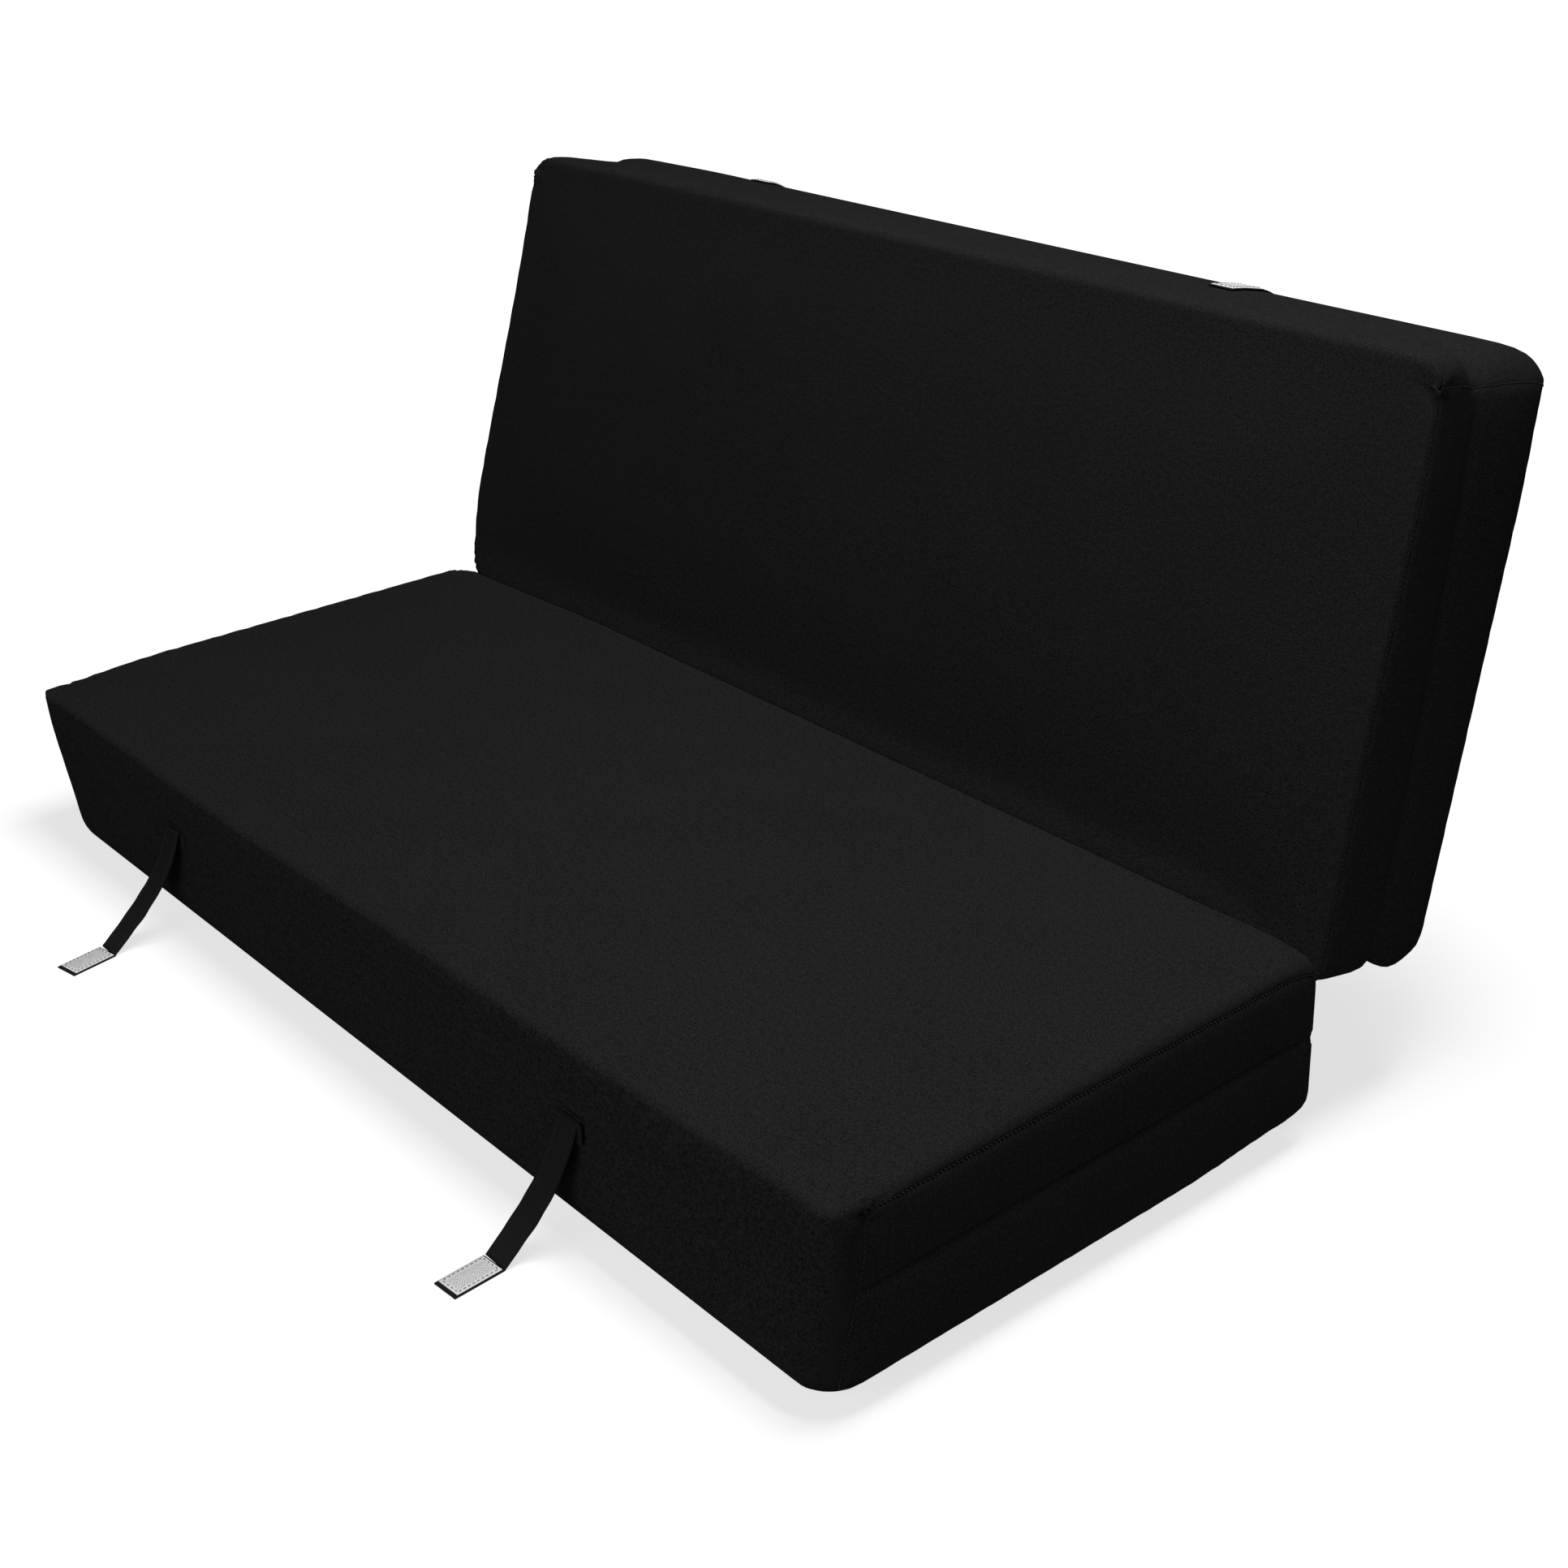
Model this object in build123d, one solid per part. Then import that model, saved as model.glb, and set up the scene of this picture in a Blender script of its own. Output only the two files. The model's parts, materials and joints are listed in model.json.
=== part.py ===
"""Folding futon mattress: a seat cushion and a back cushion joined along one long edge.

Millimetres, +Z up. The origin is the centre of the seat's underside, X runs along the
sofa's length, -Y is the front. The part is built in its sofa pose, with the back raised.

Each cushion is first made in its own flat frame: Y = 0 is the face at the fold, +Y runs
to the outer long edge, Z = 0 is the underside and the sleeping face is on top.
"""

from build123d import *
import os
from math import cos, radians, sin

os.makedirs("parts", exist_ok=True)

# ---------------------------------------------------------------- cushions
length = 1400.0              # both cushions, along X
seat_depth = 590.0           # fold face to front face
seat_thickness = 200.0
seat_waist = 120.0           # underside to the waist seam
back_height = 550.0          # fold face to top face
back_thickness = 200.0
back_waist = 120.0           # rear face to the waist seam
back_lean = 13.0             # degrees behind the vertical in the sofa pose

roll_radius = 30.0           # outer long edge, sleeping side
outer_under_radius = 45.0    # outer long edge, underside
fold_radius = 16.0           # edge at the fold, sleeping side
fold_under_radius = 40.0     # edge at the fold, underside
end_radius = 15.0            # end edges, sleeping side
end_under_radius = 42.0      # end edges, underside
outer_corner_radius = 28.0   # upright corners of the outer long edge
fold_corner_radius = 22.0    # upright corners at the fold

# ---------------------------------------------------------------- cover and filling
cover = 2.0                  # woven cover with its backing
wadding = 8.0                # quilt sheet above and below the foam
seam_inset = 11.0            # outline of the end panels, in from the cushion's outline
waist_mouth = 18.0           # waist channel, width at the surface
waist_floor = 8.0            # waist channel, width at its floor
end_waist_depth = 5.0        # how far the waist seam pulls in on the ends
fold_waist_depth = 8.0       # and on the fold face, where the zip lies

# ---------------------------------------------------------------- fold
fold_rise = 0.5              # fold line above the sleeping faces
fold_strip = 1.0             # thickness of the fabric strip sewn on each fold face
fold_strip_width = 48.0      # its width, down the fold face
fold_strip_clearance = 0.15  # each strip off the fold line
fold_strip_end = 30.0        # how far it stops short of each end

# ---------------------------------------------------------------- zips
zip_end = 45.0               # zip chain stops short of each end
zip_tape = 0.6
zip_tape_width = 7.6
coil_width = 4.4
coil_height = 1.4
slider_clearance = 0.3
slider_length = 11.0
slider_wall = 1.2
slider_park = 20.0           # closed slider, in from the end of its chain
lug_length = 3.0
lug_thickness = 1.0
lug_gap = 3.4
pivot_height = 1.0           # puller pin above the slider's top plate
knuckle_radius = 0.8
knuckle_clearance = 0.2
puller_thickness = 1.0
puller_neck = 2.6
puller_width = 4.0
puller_length = 18.0

# ---------------------------------------------------------------- straps
strap_left = -345.0          # X of the left pair of straps
strap_right = 380.0          # X of the right pair
strap_width = 30.0
strap_thickness = 1.6
strap_clearance = 0.4        # strap off the cover that it lies on
anchor_width = 34.0
anchor_length = 20.0
anchor_thickness = 2.0
anchor_clearance = 0.3       # anchor to the first of the moving webbing
end_length = 53.0            # last length of the strap, which carries the hook tape
link_clearance = 0.3         # between the webbing and its end length
hook_border = 1.2            # hook tape in from the edges of the strap
hook_thickness = 1.4

front_strap_height = 134.0   # root of the seat's straps above the underside
front_strap_reach = 68.0     # where they come down, in front of the seat
front_strap_bend = 10.0      # radius where they turn down at the root
front_strap_drop = 80.0      # degrees below level after that bend
front_strap_landing = 38.0   # degrees below level where they reach the ground
front_strap_drift = 45.0     # how far they wander to the left on the way down
front_strap_sections = 12

back_strap_run = 118.0       # root of the back's straps below the top face

half = length / 2
fold_gap = 2 * (fold_strip + fold_strip_clearance)
fold_angle = 90.0 - back_lean
fold_y = seat_depth / 2 + fold_gap / 2
fold_z = seat_thickness + fold_rise
waist_slope = (waist_mouth - waist_floor) / 2 / fold_waist_depth
far = 2 * length


def block(x0, x1, y0, y1, z0, z1):
    """A box between two corners."""
    middle = Pos((x0 + x1) / 2, (y0 + y1) / 2, (z0 + z1) / 2)
    return middle * Box(x1 - x0, y1 - y0, z1 - z0)


def lay_seat(shape):
    """From the cushion's own frame to the seat: the fold face at the rear."""
    return Pos(0, seat_depth / 2, 0) * Rot(0, 0, 180) * shape


def lay_back(shape):
    """From the cushion's own frame to the raised back."""
    flat = Pos(0, fold_gap / 2, seat_thickness - back_thickness - fold_z) * shape
    return Pos(0, fold_y, fold_z) * Rot(fold_angle, 0, 0) * flat


# ---------------------------------------------------------------- cushion forms
def rounded_outline(left, right, bottom, top, radii):
    """A rounded rectangle, with radii from its lower left corner anticlockwise."""
    corners = [(left, bottom), (right, bottom), (right, top), (left, top)]
    face = make_face(Polyline(*corners, close=True))
    for corner, radius in zip(corners, radii):
        vertex = face.vertices().sort_by_distance(Vector(*corner, 0))[0]
        face = fillet(vertex, radius)
    return face


def waist_prism(depth, inset, run):
    """The waist channel's section, cut `depth` into a face and run out along X.

    The face is at Y = 0 with its solid on the +Y side, and Z = 0 is the seam.
    """
    wall = inset * (1 + waist_slope ** 2) ** 0.5
    outside = -depth
    floor = depth + inset
    mouth_half = waist_mouth / 2 - outside * waist_slope + wall
    floor_half = waist_mouth / 2 - floor * waist_slope + wall
    section = Polyline(
        (outside, -mouth_half), (floor, -floor_half), (floor, floor_half), (outside, mouth_half), close=True
    )
    return extrude(Plane.YZ * make_face(section), amount=run / 2, both=True)


def cushion_form(depth, thickness, waist, inset):
    """The cushion's rounded block with its waist channel, `inset` inside the cover's surface.

    The block is common to three prisms: its outline seen from the end, the front and above.
    """
    low = inset
    high = thickness - inset
    end = half - inset
    end_radii = [end_under_radius - inset] * 2 + [end_radius - inset] * 2
    side_radii = [
        fold_under_radius - inset,
        outer_under_radius - inset,
        roll_radius - inset,
        fold_radius - inset,
    ]
    plan_radii = [fold_corner_radius - inset] * 2 + [outer_corner_radius - inset] * 2
    side = Plane.YZ * rounded_outline(inset, depth - inset, low, high, side_radii)
    front = Plane.XZ * rounded_outline(-end, end, low, high, end_radii)
    plan = rounded_outline(-end, end, inset, depth - inset, plan_radii)
    form = extrude(side, amount=far, both=True)
    form &= extrude(front, amount=far, both=True)
    form &= extrude(plan, amount=far, both=True)
    form -= Pos(0, 0, waist) * waist_prism(fold_waist_depth, inset, far)
    channel_end = depth - seam_inset + inset
    channel = waist_prism(end_waist_depth, inset, 2 * channel_end)
    form -= Pos(half, 0, waist) * Rot(0, 0, 90) * channel
    form -= Pos(-half, 0, waist) * Rot(0, 0, -90) * channel
    return form


def boxing_zone(depth, thickness):
    """The space of the boxing strips: round both ends and along the fold face."""
    side_radii = [
        seam_inset / 2,
        outer_under_radius - seam_inset,
        roll_radius - seam_inset,
        seam_inset / 2,
    ]
    outline = rounded_outline(
        -2 * seam_inset, depth - seam_inset, seam_inset, thickness - seam_inset, side_radii
    )
    zone = extrude(Plane.YZ * outline, amount=far, both=True)
    end_zone = end_under_radius + cover
    fold_zone = fold_under_radius + cover
    inside = block(end_zone - half, half - end_zone, fold_zone, far, -far, far)
    return zone - inside


def cushion_pieces(depth, thickness, waist):
    """Every layer and panel of one cushion, in its own flat frame."""
    outside = cushion_form(depth, thickness, waist, 0)
    inside = cushion_form(depth, thickness, waist, cover)
    shell = outside - inside
    zone = boxing_zone(depth, thickness)
    boxing = shell & zone
    top = thickness - cover - wadding
    bottom = cover + wadding

    def layer(shape, low, high):
        return shape & block(-far, far, -far, far, low, high)

    return {
        "wrap_panel": shell - zone,
        "upper_boxing": layer(boxing, waist, far),
        "lower_boxing": layer(boxing, -far, waist),
        "top_wadding": layer(inside, top, far),
        "comfort_foam": layer(inside, waist, top),
        "base_foam": layer(inside, bottom, waist),
        "base_wadding": layer(inside, -far, bottom),
    }


# ---------------------------------------------------------------- zips
# A zip is made on the XY plane: its tape lies at Z = 0 and rises along +Z, the chain runs along X.
tape_top = zip_tape
coil_top = tape_top + coil_height
slider_roof = coil_top + slider_clearance
slider_top = slider_roof + slider_wall
pin_z = slider_top + pivot_height
chain_half = half - zip_end
slider_x = chain_half - slider_park


def zip_chain():
    tape = block(-chain_half, chain_half, -zip_tape_width / 2, zip_tape_width / 2, 0, tape_top)
    coil = block(-chain_half, chain_half, -coil_width / 2, coil_width / 2, 0, coil_top)
    return tape + coil


def zip_slider():
    """A channel over the coil with two lugs for the puller's pin."""
    inner = coil_width / 2 + slider_clearance
    outer = inner + slider_wall
    low = tape_top + slider_clearance
    body = block(-slider_length / 2, slider_length / 2, -outer, outer, low, slider_top)
    body -= block(-slider_length, slider_length, -inner, inner, 0, slider_roof)
    lug_top = pin_z + knuckle_radius
    for side in (-1, 1):
        near = side * lug_gap / 2
        away = near + side * lug_thickness
        lug_low, lug_high = sorted((near, away))
        body += block(-lug_length / 2, lug_length / 2, lug_low, lug_high, slider_top, lug_top)
    return body


def zip_puller():
    """A flat tongue on a knuckle that sits between the lugs, lying back along the chain."""
    pin_half = lug_gap / 2 - knuckle_clearance
    knuckle = Rot(90, 0, 0) * Cylinder(knuckle_radius, 2 * pin_half)
    low = -puller_thickness / 2
    high = puller_thickness / 2
    neck = block(-puller_length / 2, 0, -puller_neck / 2, puller_neck / 2, low, high)
    tongue = block(-puller_length, -lug_length, -puller_width / 2, puller_width / 2, low, high)
    return Pos(0, 0, pin_z) * (knuckle + neck + tongue)


def zip_pieces(waist):
    """Chain, slider and puller of one cushion, on the floor of the waist channel."""
    # the zip's own +Z points out of the fold face, which is -Y in the cushion's frame
    seat = Pos(0, fold_waist_depth, waist) * Rot(90, 0, 0)
    park = Pos(slider_x, 0, 0)
    return {
        "zip_chain": seat * zip_chain(),
        "zip_slider": seat * park * zip_slider(),
        "zip_puller": seat * park * zip_puller(),
    }


# ---------------------------------------------------------------- fold strips
def fold_strip_piece(thickness):
    """The fabric strip sewn down the fold face, with its upper edge at the fold line."""
    top = thickness + fold_rise - fold_strip_clearance
    return block(
        fold_strip_end - half, half - fold_strip_end, -fold_strip, 0, top - fold_strip_width, top
    )


# ---------------------------------------------------------------- straps
def front_strap_lengths():
    """Straight run and lower bend radius that bring the strap down at its reach."""
    drop = radians(front_strap_drop)
    landing = radians(front_strap_landing)
    start = anchor_thickness + anchor_clearance
    out = front_strap_reach - start - front_strap_bend * sin(drop)
    ground = strap_thickness / 2
    down = front_strap_height - ground - front_strap_bend * (1 - cos(drop))
    bend_out = sin(drop) - sin(landing)
    bend_down = cos(landing) - cos(drop)
    # out = run * cos(drop) + radius * bend_out ; down = run * sin(drop) + radius * bend_down
    determinant = cos(drop) * bend_down - sin(drop) * bend_out
    run = (out * bend_down - down * bend_out) / determinant
    radius = (down * cos(drop) - out * sin(drop)) / determinant
    return start, run, radius


def front_strap_point(travel):
    """Distance in front of the seat, height and angle below level after `travel` mm of strap."""
    start, run, radius = front_strap_lengths()
    drop = radians(front_strap_drop)
    bend = front_strap_bend * drop
    if travel <= bend:
        turn = travel / front_strap_bend
        out = start + front_strap_bend * sin(turn)
        return out, front_strap_height - front_strap_bend * (1 - cos(turn)), turn
    out = start + front_strap_bend * sin(drop)
    high = front_strap_height - front_strap_bend * (1 - cos(drop))
    if travel <= bend + run:
        rest = travel - bend
        return out + rest * cos(drop), high - rest * sin(drop), drop
    turn = (travel - bend - run) / radius
    angle = drop - turn
    out += run * cos(drop) + radius * (sin(drop) - sin(angle))
    high -= run * sin(drop) + radius * (cos(angle) - cos(drop))
    return out, high, angle


def front_strap_pieces(x):
    """One strap of the seat in the row's frame: anchor, webbing, end length and hook tape."""
    face = -seat_depth / 2
    top = front_strap_height - strap_thickness / 2 - anchor_clearance
    anchor = block(
        x - anchor_width / 2, x + anchor_width / 2, face - anchor_thickness, face, top - anchor_length, top
    )
    start, run, radius = front_strap_lengths()
    turns = radians(front_strap_drop), radians(front_strap_drop - front_strap_landing)
    total = front_strap_bend * turns[0] + run + radius * turns[1]
    sections = []
    for index in range(front_strap_sections + 1):
        share = index / front_strap_sections
        out, high, angle = front_strap_point(share * total)
        drift = front_strap_drift * share ** 2 * (3 - 2 * share)
        along = Vector(0, -cos(angle), -sin(angle))
        station = Plane(origin=(x - drift, face - out, high), x_dir=(1, 0, 0), z_dir=along)
        sections.append(station * Rectangle(strap_width, strap_thickness))
    webbing = loft(sections, ruled=True)
    end_x = x - front_strap_drift
    near = face - front_strap_reach - strap_thickness / 2 - link_clearance
    end = block(
        end_x - strap_width / 2, end_x + strap_width / 2, near - end_length, near, 0, strap_thickness
    )
    hook = block(
        end_x - strap_width / 2 + hook_border,
        end_x + strap_width / 2 - hook_border,
        near - end_length + hook_border,
        near - hook_border,
        strap_thickness,
        strap_thickness + hook_thickness,
    )
    return {"anchor": anchor, "webbing": webbing, "end": end, "hook_tape": hook}


def back_strap_pieces(x):
    """One strap of the back in the cushion's frame, up the rear face and over its outer edge."""
    x0 = x - strap_width / 2
    x1 = x + strap_width / 2
    root = back_height - back_strap_run
    anchor = block(
        x - anchor_width / 2, x + anchor_width / 2, root - anchor_length, root, -anchor_thickness, 0
    )
    inner = outer_under_radius + strap_clearance
    outer = inner + strap_thickness
    centre_y = back_height - outer_under_radius
    centre_z = outer_under_radius
    turn = Pos(x, centre_y, centre_z) * Rot(0, 90, 0) * (
        Cylinder(outer, strap_width) - Cylinder(inner, strap_width)
    )
    turn &= block(x0, x1, centre_y, far, -far, centre_z)
    straight = block(
        x0, x1, root + anchor_clearance, centre_y, -strap_clearance - strap_thickness, -strap_clearance
    )
    face = back_height + strap_clearance
    low = centre_z + link_clearance
    end = block(x0, x1, face, face + strap_thickness, low, low + end_length)
    hook = block(
        x0 + hook_border,
        x1 - hook_border,
        face + strap_thickness,
        face + strap_thickness + hook_thickness,
        low + hook_border,
        low + end_length - hook_border,
    )
    return {"anchor": anchor, "webbing": straight + turn, "end": end, "hook_tape": hook}


# ---------------------------------------------------------------- assembly
nodes = {}
for name, shape in cushion_pieces(seat_depth, seat_thickness, seat_waist).items():
    nodes[f"seat_{name}"] = lay_seat(shape)
for name, shape in cushion_pieces(back_height, back_thickness, back_waist).items():
    nodes[f"back_{name}"] = lay_back(shape)
for name, shape in zip_pieces(seat_waist).items():
    nodes[f"seat_{name}"] = lay_seat(shape)
for name, shape in zip_pieces(back_waist).items():
    nodes[f"back_{name}"] = lay_back(shape)
nodes["seat_fold_strip"] = lay_seat(fold_strip_piece(seat_thickness))
nodes["back_fold_strip"] = lay_back(fold_strip_piece(back_thickness))
for side, x in (("left", strap_left), ("right", strap_right)):
    for name, shape in front_strap_pieces(x).items():
        nodes[f"seat_strap_{side}_{name}"] = shape
    for name, shape in back_strap_pieces(x).items():
        nodes[f"back_strap_{side}_{name}"] = lay_back(shape)

for name, shape in nodes.items():
    export_step(shape, f"parts/{name}.step")
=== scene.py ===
"""Folding futon mattress in black woven cloth, dressed round its packed solid model.

Metres, +Z up, in the solid model's own frame: the origin is the centre of the seat's
underside, X runs along the sofa and -Y is the front. Each cushion is shaped in a frame of
its own: x along the sofa, u out from the fold face, z up from the underside.
"""

import json
import math

import bpy
import numpy as np
from bpy.props import FloatProperty, FloatVectorProperty, PointerProperty
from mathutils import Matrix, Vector


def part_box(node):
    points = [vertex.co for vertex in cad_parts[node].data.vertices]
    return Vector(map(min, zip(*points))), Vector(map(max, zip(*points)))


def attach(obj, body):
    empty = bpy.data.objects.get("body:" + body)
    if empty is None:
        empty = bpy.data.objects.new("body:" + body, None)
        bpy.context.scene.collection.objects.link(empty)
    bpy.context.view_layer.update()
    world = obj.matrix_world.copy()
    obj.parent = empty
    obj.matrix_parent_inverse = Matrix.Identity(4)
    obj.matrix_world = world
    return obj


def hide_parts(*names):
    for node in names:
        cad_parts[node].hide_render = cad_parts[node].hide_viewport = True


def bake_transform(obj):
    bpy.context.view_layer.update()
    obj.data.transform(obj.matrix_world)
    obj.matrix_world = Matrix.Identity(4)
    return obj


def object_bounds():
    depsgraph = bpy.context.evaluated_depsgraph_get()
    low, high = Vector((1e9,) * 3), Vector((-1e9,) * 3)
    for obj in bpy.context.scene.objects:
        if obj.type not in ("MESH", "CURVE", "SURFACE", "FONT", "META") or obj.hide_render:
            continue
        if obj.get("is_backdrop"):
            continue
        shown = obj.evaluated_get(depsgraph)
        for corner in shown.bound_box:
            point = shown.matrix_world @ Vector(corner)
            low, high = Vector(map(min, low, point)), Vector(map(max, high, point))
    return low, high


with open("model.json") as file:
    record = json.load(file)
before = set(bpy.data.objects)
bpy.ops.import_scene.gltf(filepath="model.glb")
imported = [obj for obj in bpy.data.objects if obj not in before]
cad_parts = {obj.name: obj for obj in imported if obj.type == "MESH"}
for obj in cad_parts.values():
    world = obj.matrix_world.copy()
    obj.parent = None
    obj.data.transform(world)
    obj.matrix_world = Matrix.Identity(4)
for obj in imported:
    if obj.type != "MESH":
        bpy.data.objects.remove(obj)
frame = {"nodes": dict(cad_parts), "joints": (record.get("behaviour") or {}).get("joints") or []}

bl_info = {
    "name": "Folding Futon Mattress",
    "version": (1, 0, 0),
    "blender": (4, 5, 0),
    "location": "3D View > Sidebar > Futon",
    "description": "Two box cushions in woven cloth, joined at a fold, with zips and tie straps",
    "category": "Add Mesh",
}

JOINTS = {joint["name"]: joint for joint in frame["joints"]}
SIDES = ("left", "right")
FAR = 10.0


# ---------------------------------------------------------------- sizes and colours
def size(label, value, text):
    """A length in metres that the user can change."""
    return FloatProperty(name=label, description=text, default=value, unit="LENGTH", precision=4)


def tint(label, value, text):
    """A colour that the user can change."""
    return FloatVectorProperty(
        name=label, description=text, default=value, subtype="COLOR", size=3, min=0, max=1
    )


def amount(label, value, text, low=0.0, high=100.0):
    """A plain number that the user can change."""
    return FloatProperty(name=label, description=text, default=value, min=low, max=high)


class CoverSettings(bpy.types.PropertyGroup):
    """Form and finish of the cushions' covers."""

    roll: size("Roll", 0.009, "Radius of the outer long edge, sleeping side")
    outer_under: size("Outer under edge", 0.060, "Radius of the outer long edge, underside")
    fold_edge: size("Fold edge", 0.003, "Radius of the edge at the fold, sleeping side")
    fold_under: size("Fold under edge", 0.057, "Radius of the back's edge at the fold, underside")
    seat_under: size("Seat under edge", 0.062, "Radius of the seat's edge at the fold, underside")
    end_edge: size("End edge", 0.013, "Radius of the seat's end edges, sleeping side")
    back_edge: size("Back edge", 0.007, "Radius of the back's end edges, sleeping side")
    end_under: size("End under edge", 0.056, "Radius of the seat's end edges, underside")
    back_under: size("Back under edge", 0.060, "Radius of the back's end edges, underside")
    seat_corner: size("Seat corner", 0.014, "Radius of the seat's outer upright corners, sleeping side")
    outer_corner: size("Outer corner", 0.024, "Radius of the back's outer upright corners, sleeping side")
    left_corner: size("Left corner", 0.016, "How much larger those radii are at the left end")
    blunt_corner: size("Blunt corner", 0.056, "Radius of the seat's outer upright corners, underside")
    back_corner: size("Back corner", 0.047, "Radius of the back's outer upright corners, underside")
    fold_corner: size("Fold corner", 0.004, "Radius of the upright corners at the fold, right")
    fold_left: size("Fold left corner", 0.052, "Radius of the seat's upright corner at the fold, left")
    back_left: size("Back left corner", 0.040, "Radius of the back's upright corner at the fold, left")
    sheet: size("Cloth", 0.0016, "Thickness of the cover")
    crown: size("Crown", 0.005, "Most that the sleeping face swells")
    side_swell: size("Side swell", 0.0028, "Most that the ends swell")
    outer_swell: size("Outer swell", 0.002, "Most that the outer face swells")
    pressure: amount("Pressure", 4.0, "Push of the filling in the cloth simulation")
    seam_groove: size("Seam groove", 0.0012, "Depth of the sharp line at each seam")
    seam_soft: amount("Softer seams", 0.25, "Share of that depth at the waist seam", high=1.0)
    pucker: size("Puckers", 0.0007, "Height of the small folds beside the seams")
    corner_fold: size("Corner folds", 0.0016, "Height of the folds where two seams meet")
    seam_pull: size("Seam pull", 0.0011, "How far the seams draw the cloth in around them")
    waist_pull: size("Waist pull", 0.0016, "How far the waist seam draws the ends in")
    end_draw: size("End draw", 0.0055, "How far each left end comes in all over")
    seat_draw: size("Seat draw", 0.039, "How much further the seat's left end comes in below its top edge")
    back_draw: size("Back draw", 0.032, "How much further the back's left end comes in at its top")
    fold_draw: size("Fold draw", 0.0102, "How much further it comes in all over, and again by the fold")
    seat_sink: size("Seat sink", 0.008, "How far the seat's sleeping face sinks at its left end")
    front_sink: size("Front sink", 0.012, "How far the front edge of the seat sinks towards its left end")
    tip_sink: size("Tip sink", 0.006, "How much further the seat's front corner sinks at its left end")
    front_set: size("Front set", 0.014, "How far the seat's front edge is set back at its right end")
    slant: size("Slant", 0.016, "How far forward the seat's upright seams run from top to bottom")
    top_slope: size("Top slope", 0.012, "How far the back's top falls from its rear to its front edge")
    end_out: size("End out", 0.0035, "How far the back's right end stands out")
    face_out: size("Face out", 0.004, "How far the back's sleeping face stands forward at its right end")
    waist_lift: size("Waist lift", 0.020, "How far forward its waist seam runs near the top")
    meeting: size("Meeting", 0.006, "How far the back's edge at the fold reaches over the seat")
    shoulder: size("Shoulder", 0.002, "How far the back's top sinks at its left end")
    heel: size("Heel", 0.008, "How far the seat's lower corner by the fold lifts at its right end")
    dent: size("Dent", 0.009, "Depth of the dents where a waist seam ends at the outer face")
    corner_sink: size("Corner sink", 0.017, "How far the seat's corner by the back sinks at the right end")
    hang: size("Hang", 0.017, "How far the back's fold face hangs at its right end")
    lobes: size("Lobes", 0.007, "How much further it hangs between the seams")
    bulge: size("Bulge", 0.003, "How far the seat's fold face swells there")
    zip_channel: size("Zip channel", 0.008, "Depth of the channel that holds the zip")
    web_end: size("Web end", 0.050, "End of the cushions to the end of the fold web")
    weave: size("Weave", 0.001, "Pitch of the threads")
    # Ends of the cloth's colour ramp. Most of the spread is the threads' own uneven tone. The weave's share
    # of it is painted shade, darker in its hollows, and a painted highlight on the threads' tops.
    dark: tint("Dark threads and weave shade", (0.0040, 0.0040, 0.0042), "Colour in the hollows of the weave")
    light: tint("Light threads and weave highlight", (0.0190, 0.0190, 0.0193), "Colour on the tops of the threads")


class FillingSettings(bpy.types.PropertyGroup):
    """The quilt sheets and foam cores inside each cover."""

    inset: size("Inset", 0.014, "Foam in from the outside of the cover")
    quilt: size("Wadding", 0.006, "Thickness of each quilt sheet")
    clear: size("Clearance", 0.006, "Filling below the surface of the cover")
    comfort: tint("Comfort foam", (0.74, 0.70, 0.55), "Colour of the soft core")
    base: tint("Base foam", (0.42, 0.50, 0.56), "Colour of the firm core")
    fleece: tint("Fleece", (0.80, 0.79, 0.76), "Colour of the wadding")


class StrapSettings(bpy.types.PropertyGroup):
    """The four tie straps."""

    bend: size("Root bend", 0.005, "Radius where a front strap turns down")
    drop: amount("Drop", 74.0, "Degrees below level after that bend")
    landing: amount("Landing", 41.0, "Degrees below level where it reaches the ground")
    hem: size("Hem", 0.0042, "Edge to the line of stitches")
    crease: size("Creases", 0.0008, "Depth of the soft creases")
    cloth: tint("Strap cloth", (0.0085, 0.0085, 0.0088), "Colour of the strap")
    hooks: tint("Hook tape", (0.53, 0.53, 0.53), "Colour of the hook tape")


class ZipSettings(bpy.types.PropertyGroup):
    """Zips along the fold faces."""

    pitch: size("Tooth pitch", 0.0026, "From one tooth to the next")
    tape: tint("Tape", (0.012, 0.012, 0.012), "Colour of the tape")
    teeth: tint("Teeth", (0.02, 0.02, 0.021), "Colour of the teeth")
    metal: tint("Metal", (0.42, 0.42, 0.43), "Colour of slider and puller")


class StitchSettings(bpy.types.PropertyGroup):
    """Topstitching on seams and straps."""

    pitch: size("Pitch", 0.0045, "From one stitch to the next")
    stitch: size("Stitch", 0.0034, "Length of one stitch")
    gauge: size("Thread", 0.0004, "Radius of the thread")
    thread: tint("Thread colour", (0.0075, 0.0075, 0.0078), "Colour of the thread")
    grey: tint("Grey thread", (0.16, 0.16, 0.165), "Colour of the thread on the hook tape")


class StageSettings(bpy.types.PropertyGroup):
    """Floor, lamps and camera."""

    floor: tint("Floor", (0.30, 0.30, 0.30), "Colour of the floor where the camera sees it")
    bounce: tint("Bounce", (0.49, 0.49, 0.49), "Colour of the floor in the light that it throws back")
    key: amount("Key", 131.0, "Power of the overhead lamp, in watts", high=1000.0)
    fill: amount("Fill", 25.0, "Power of the front lamp, in watts", high=1000.0)
    ambient: amount("Ambient", 0.045, "Level light from all round")


SETTINGS = {
    "futon_cover": CoverSettings,
    "futon_filling": FillingSettings,
    "futon_strap": StrapSettings,
    "futon_zip": ZipSettings,
    "futon_stitch": StitchSettings,
    "futon_stage": StageSettings,
}


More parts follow.
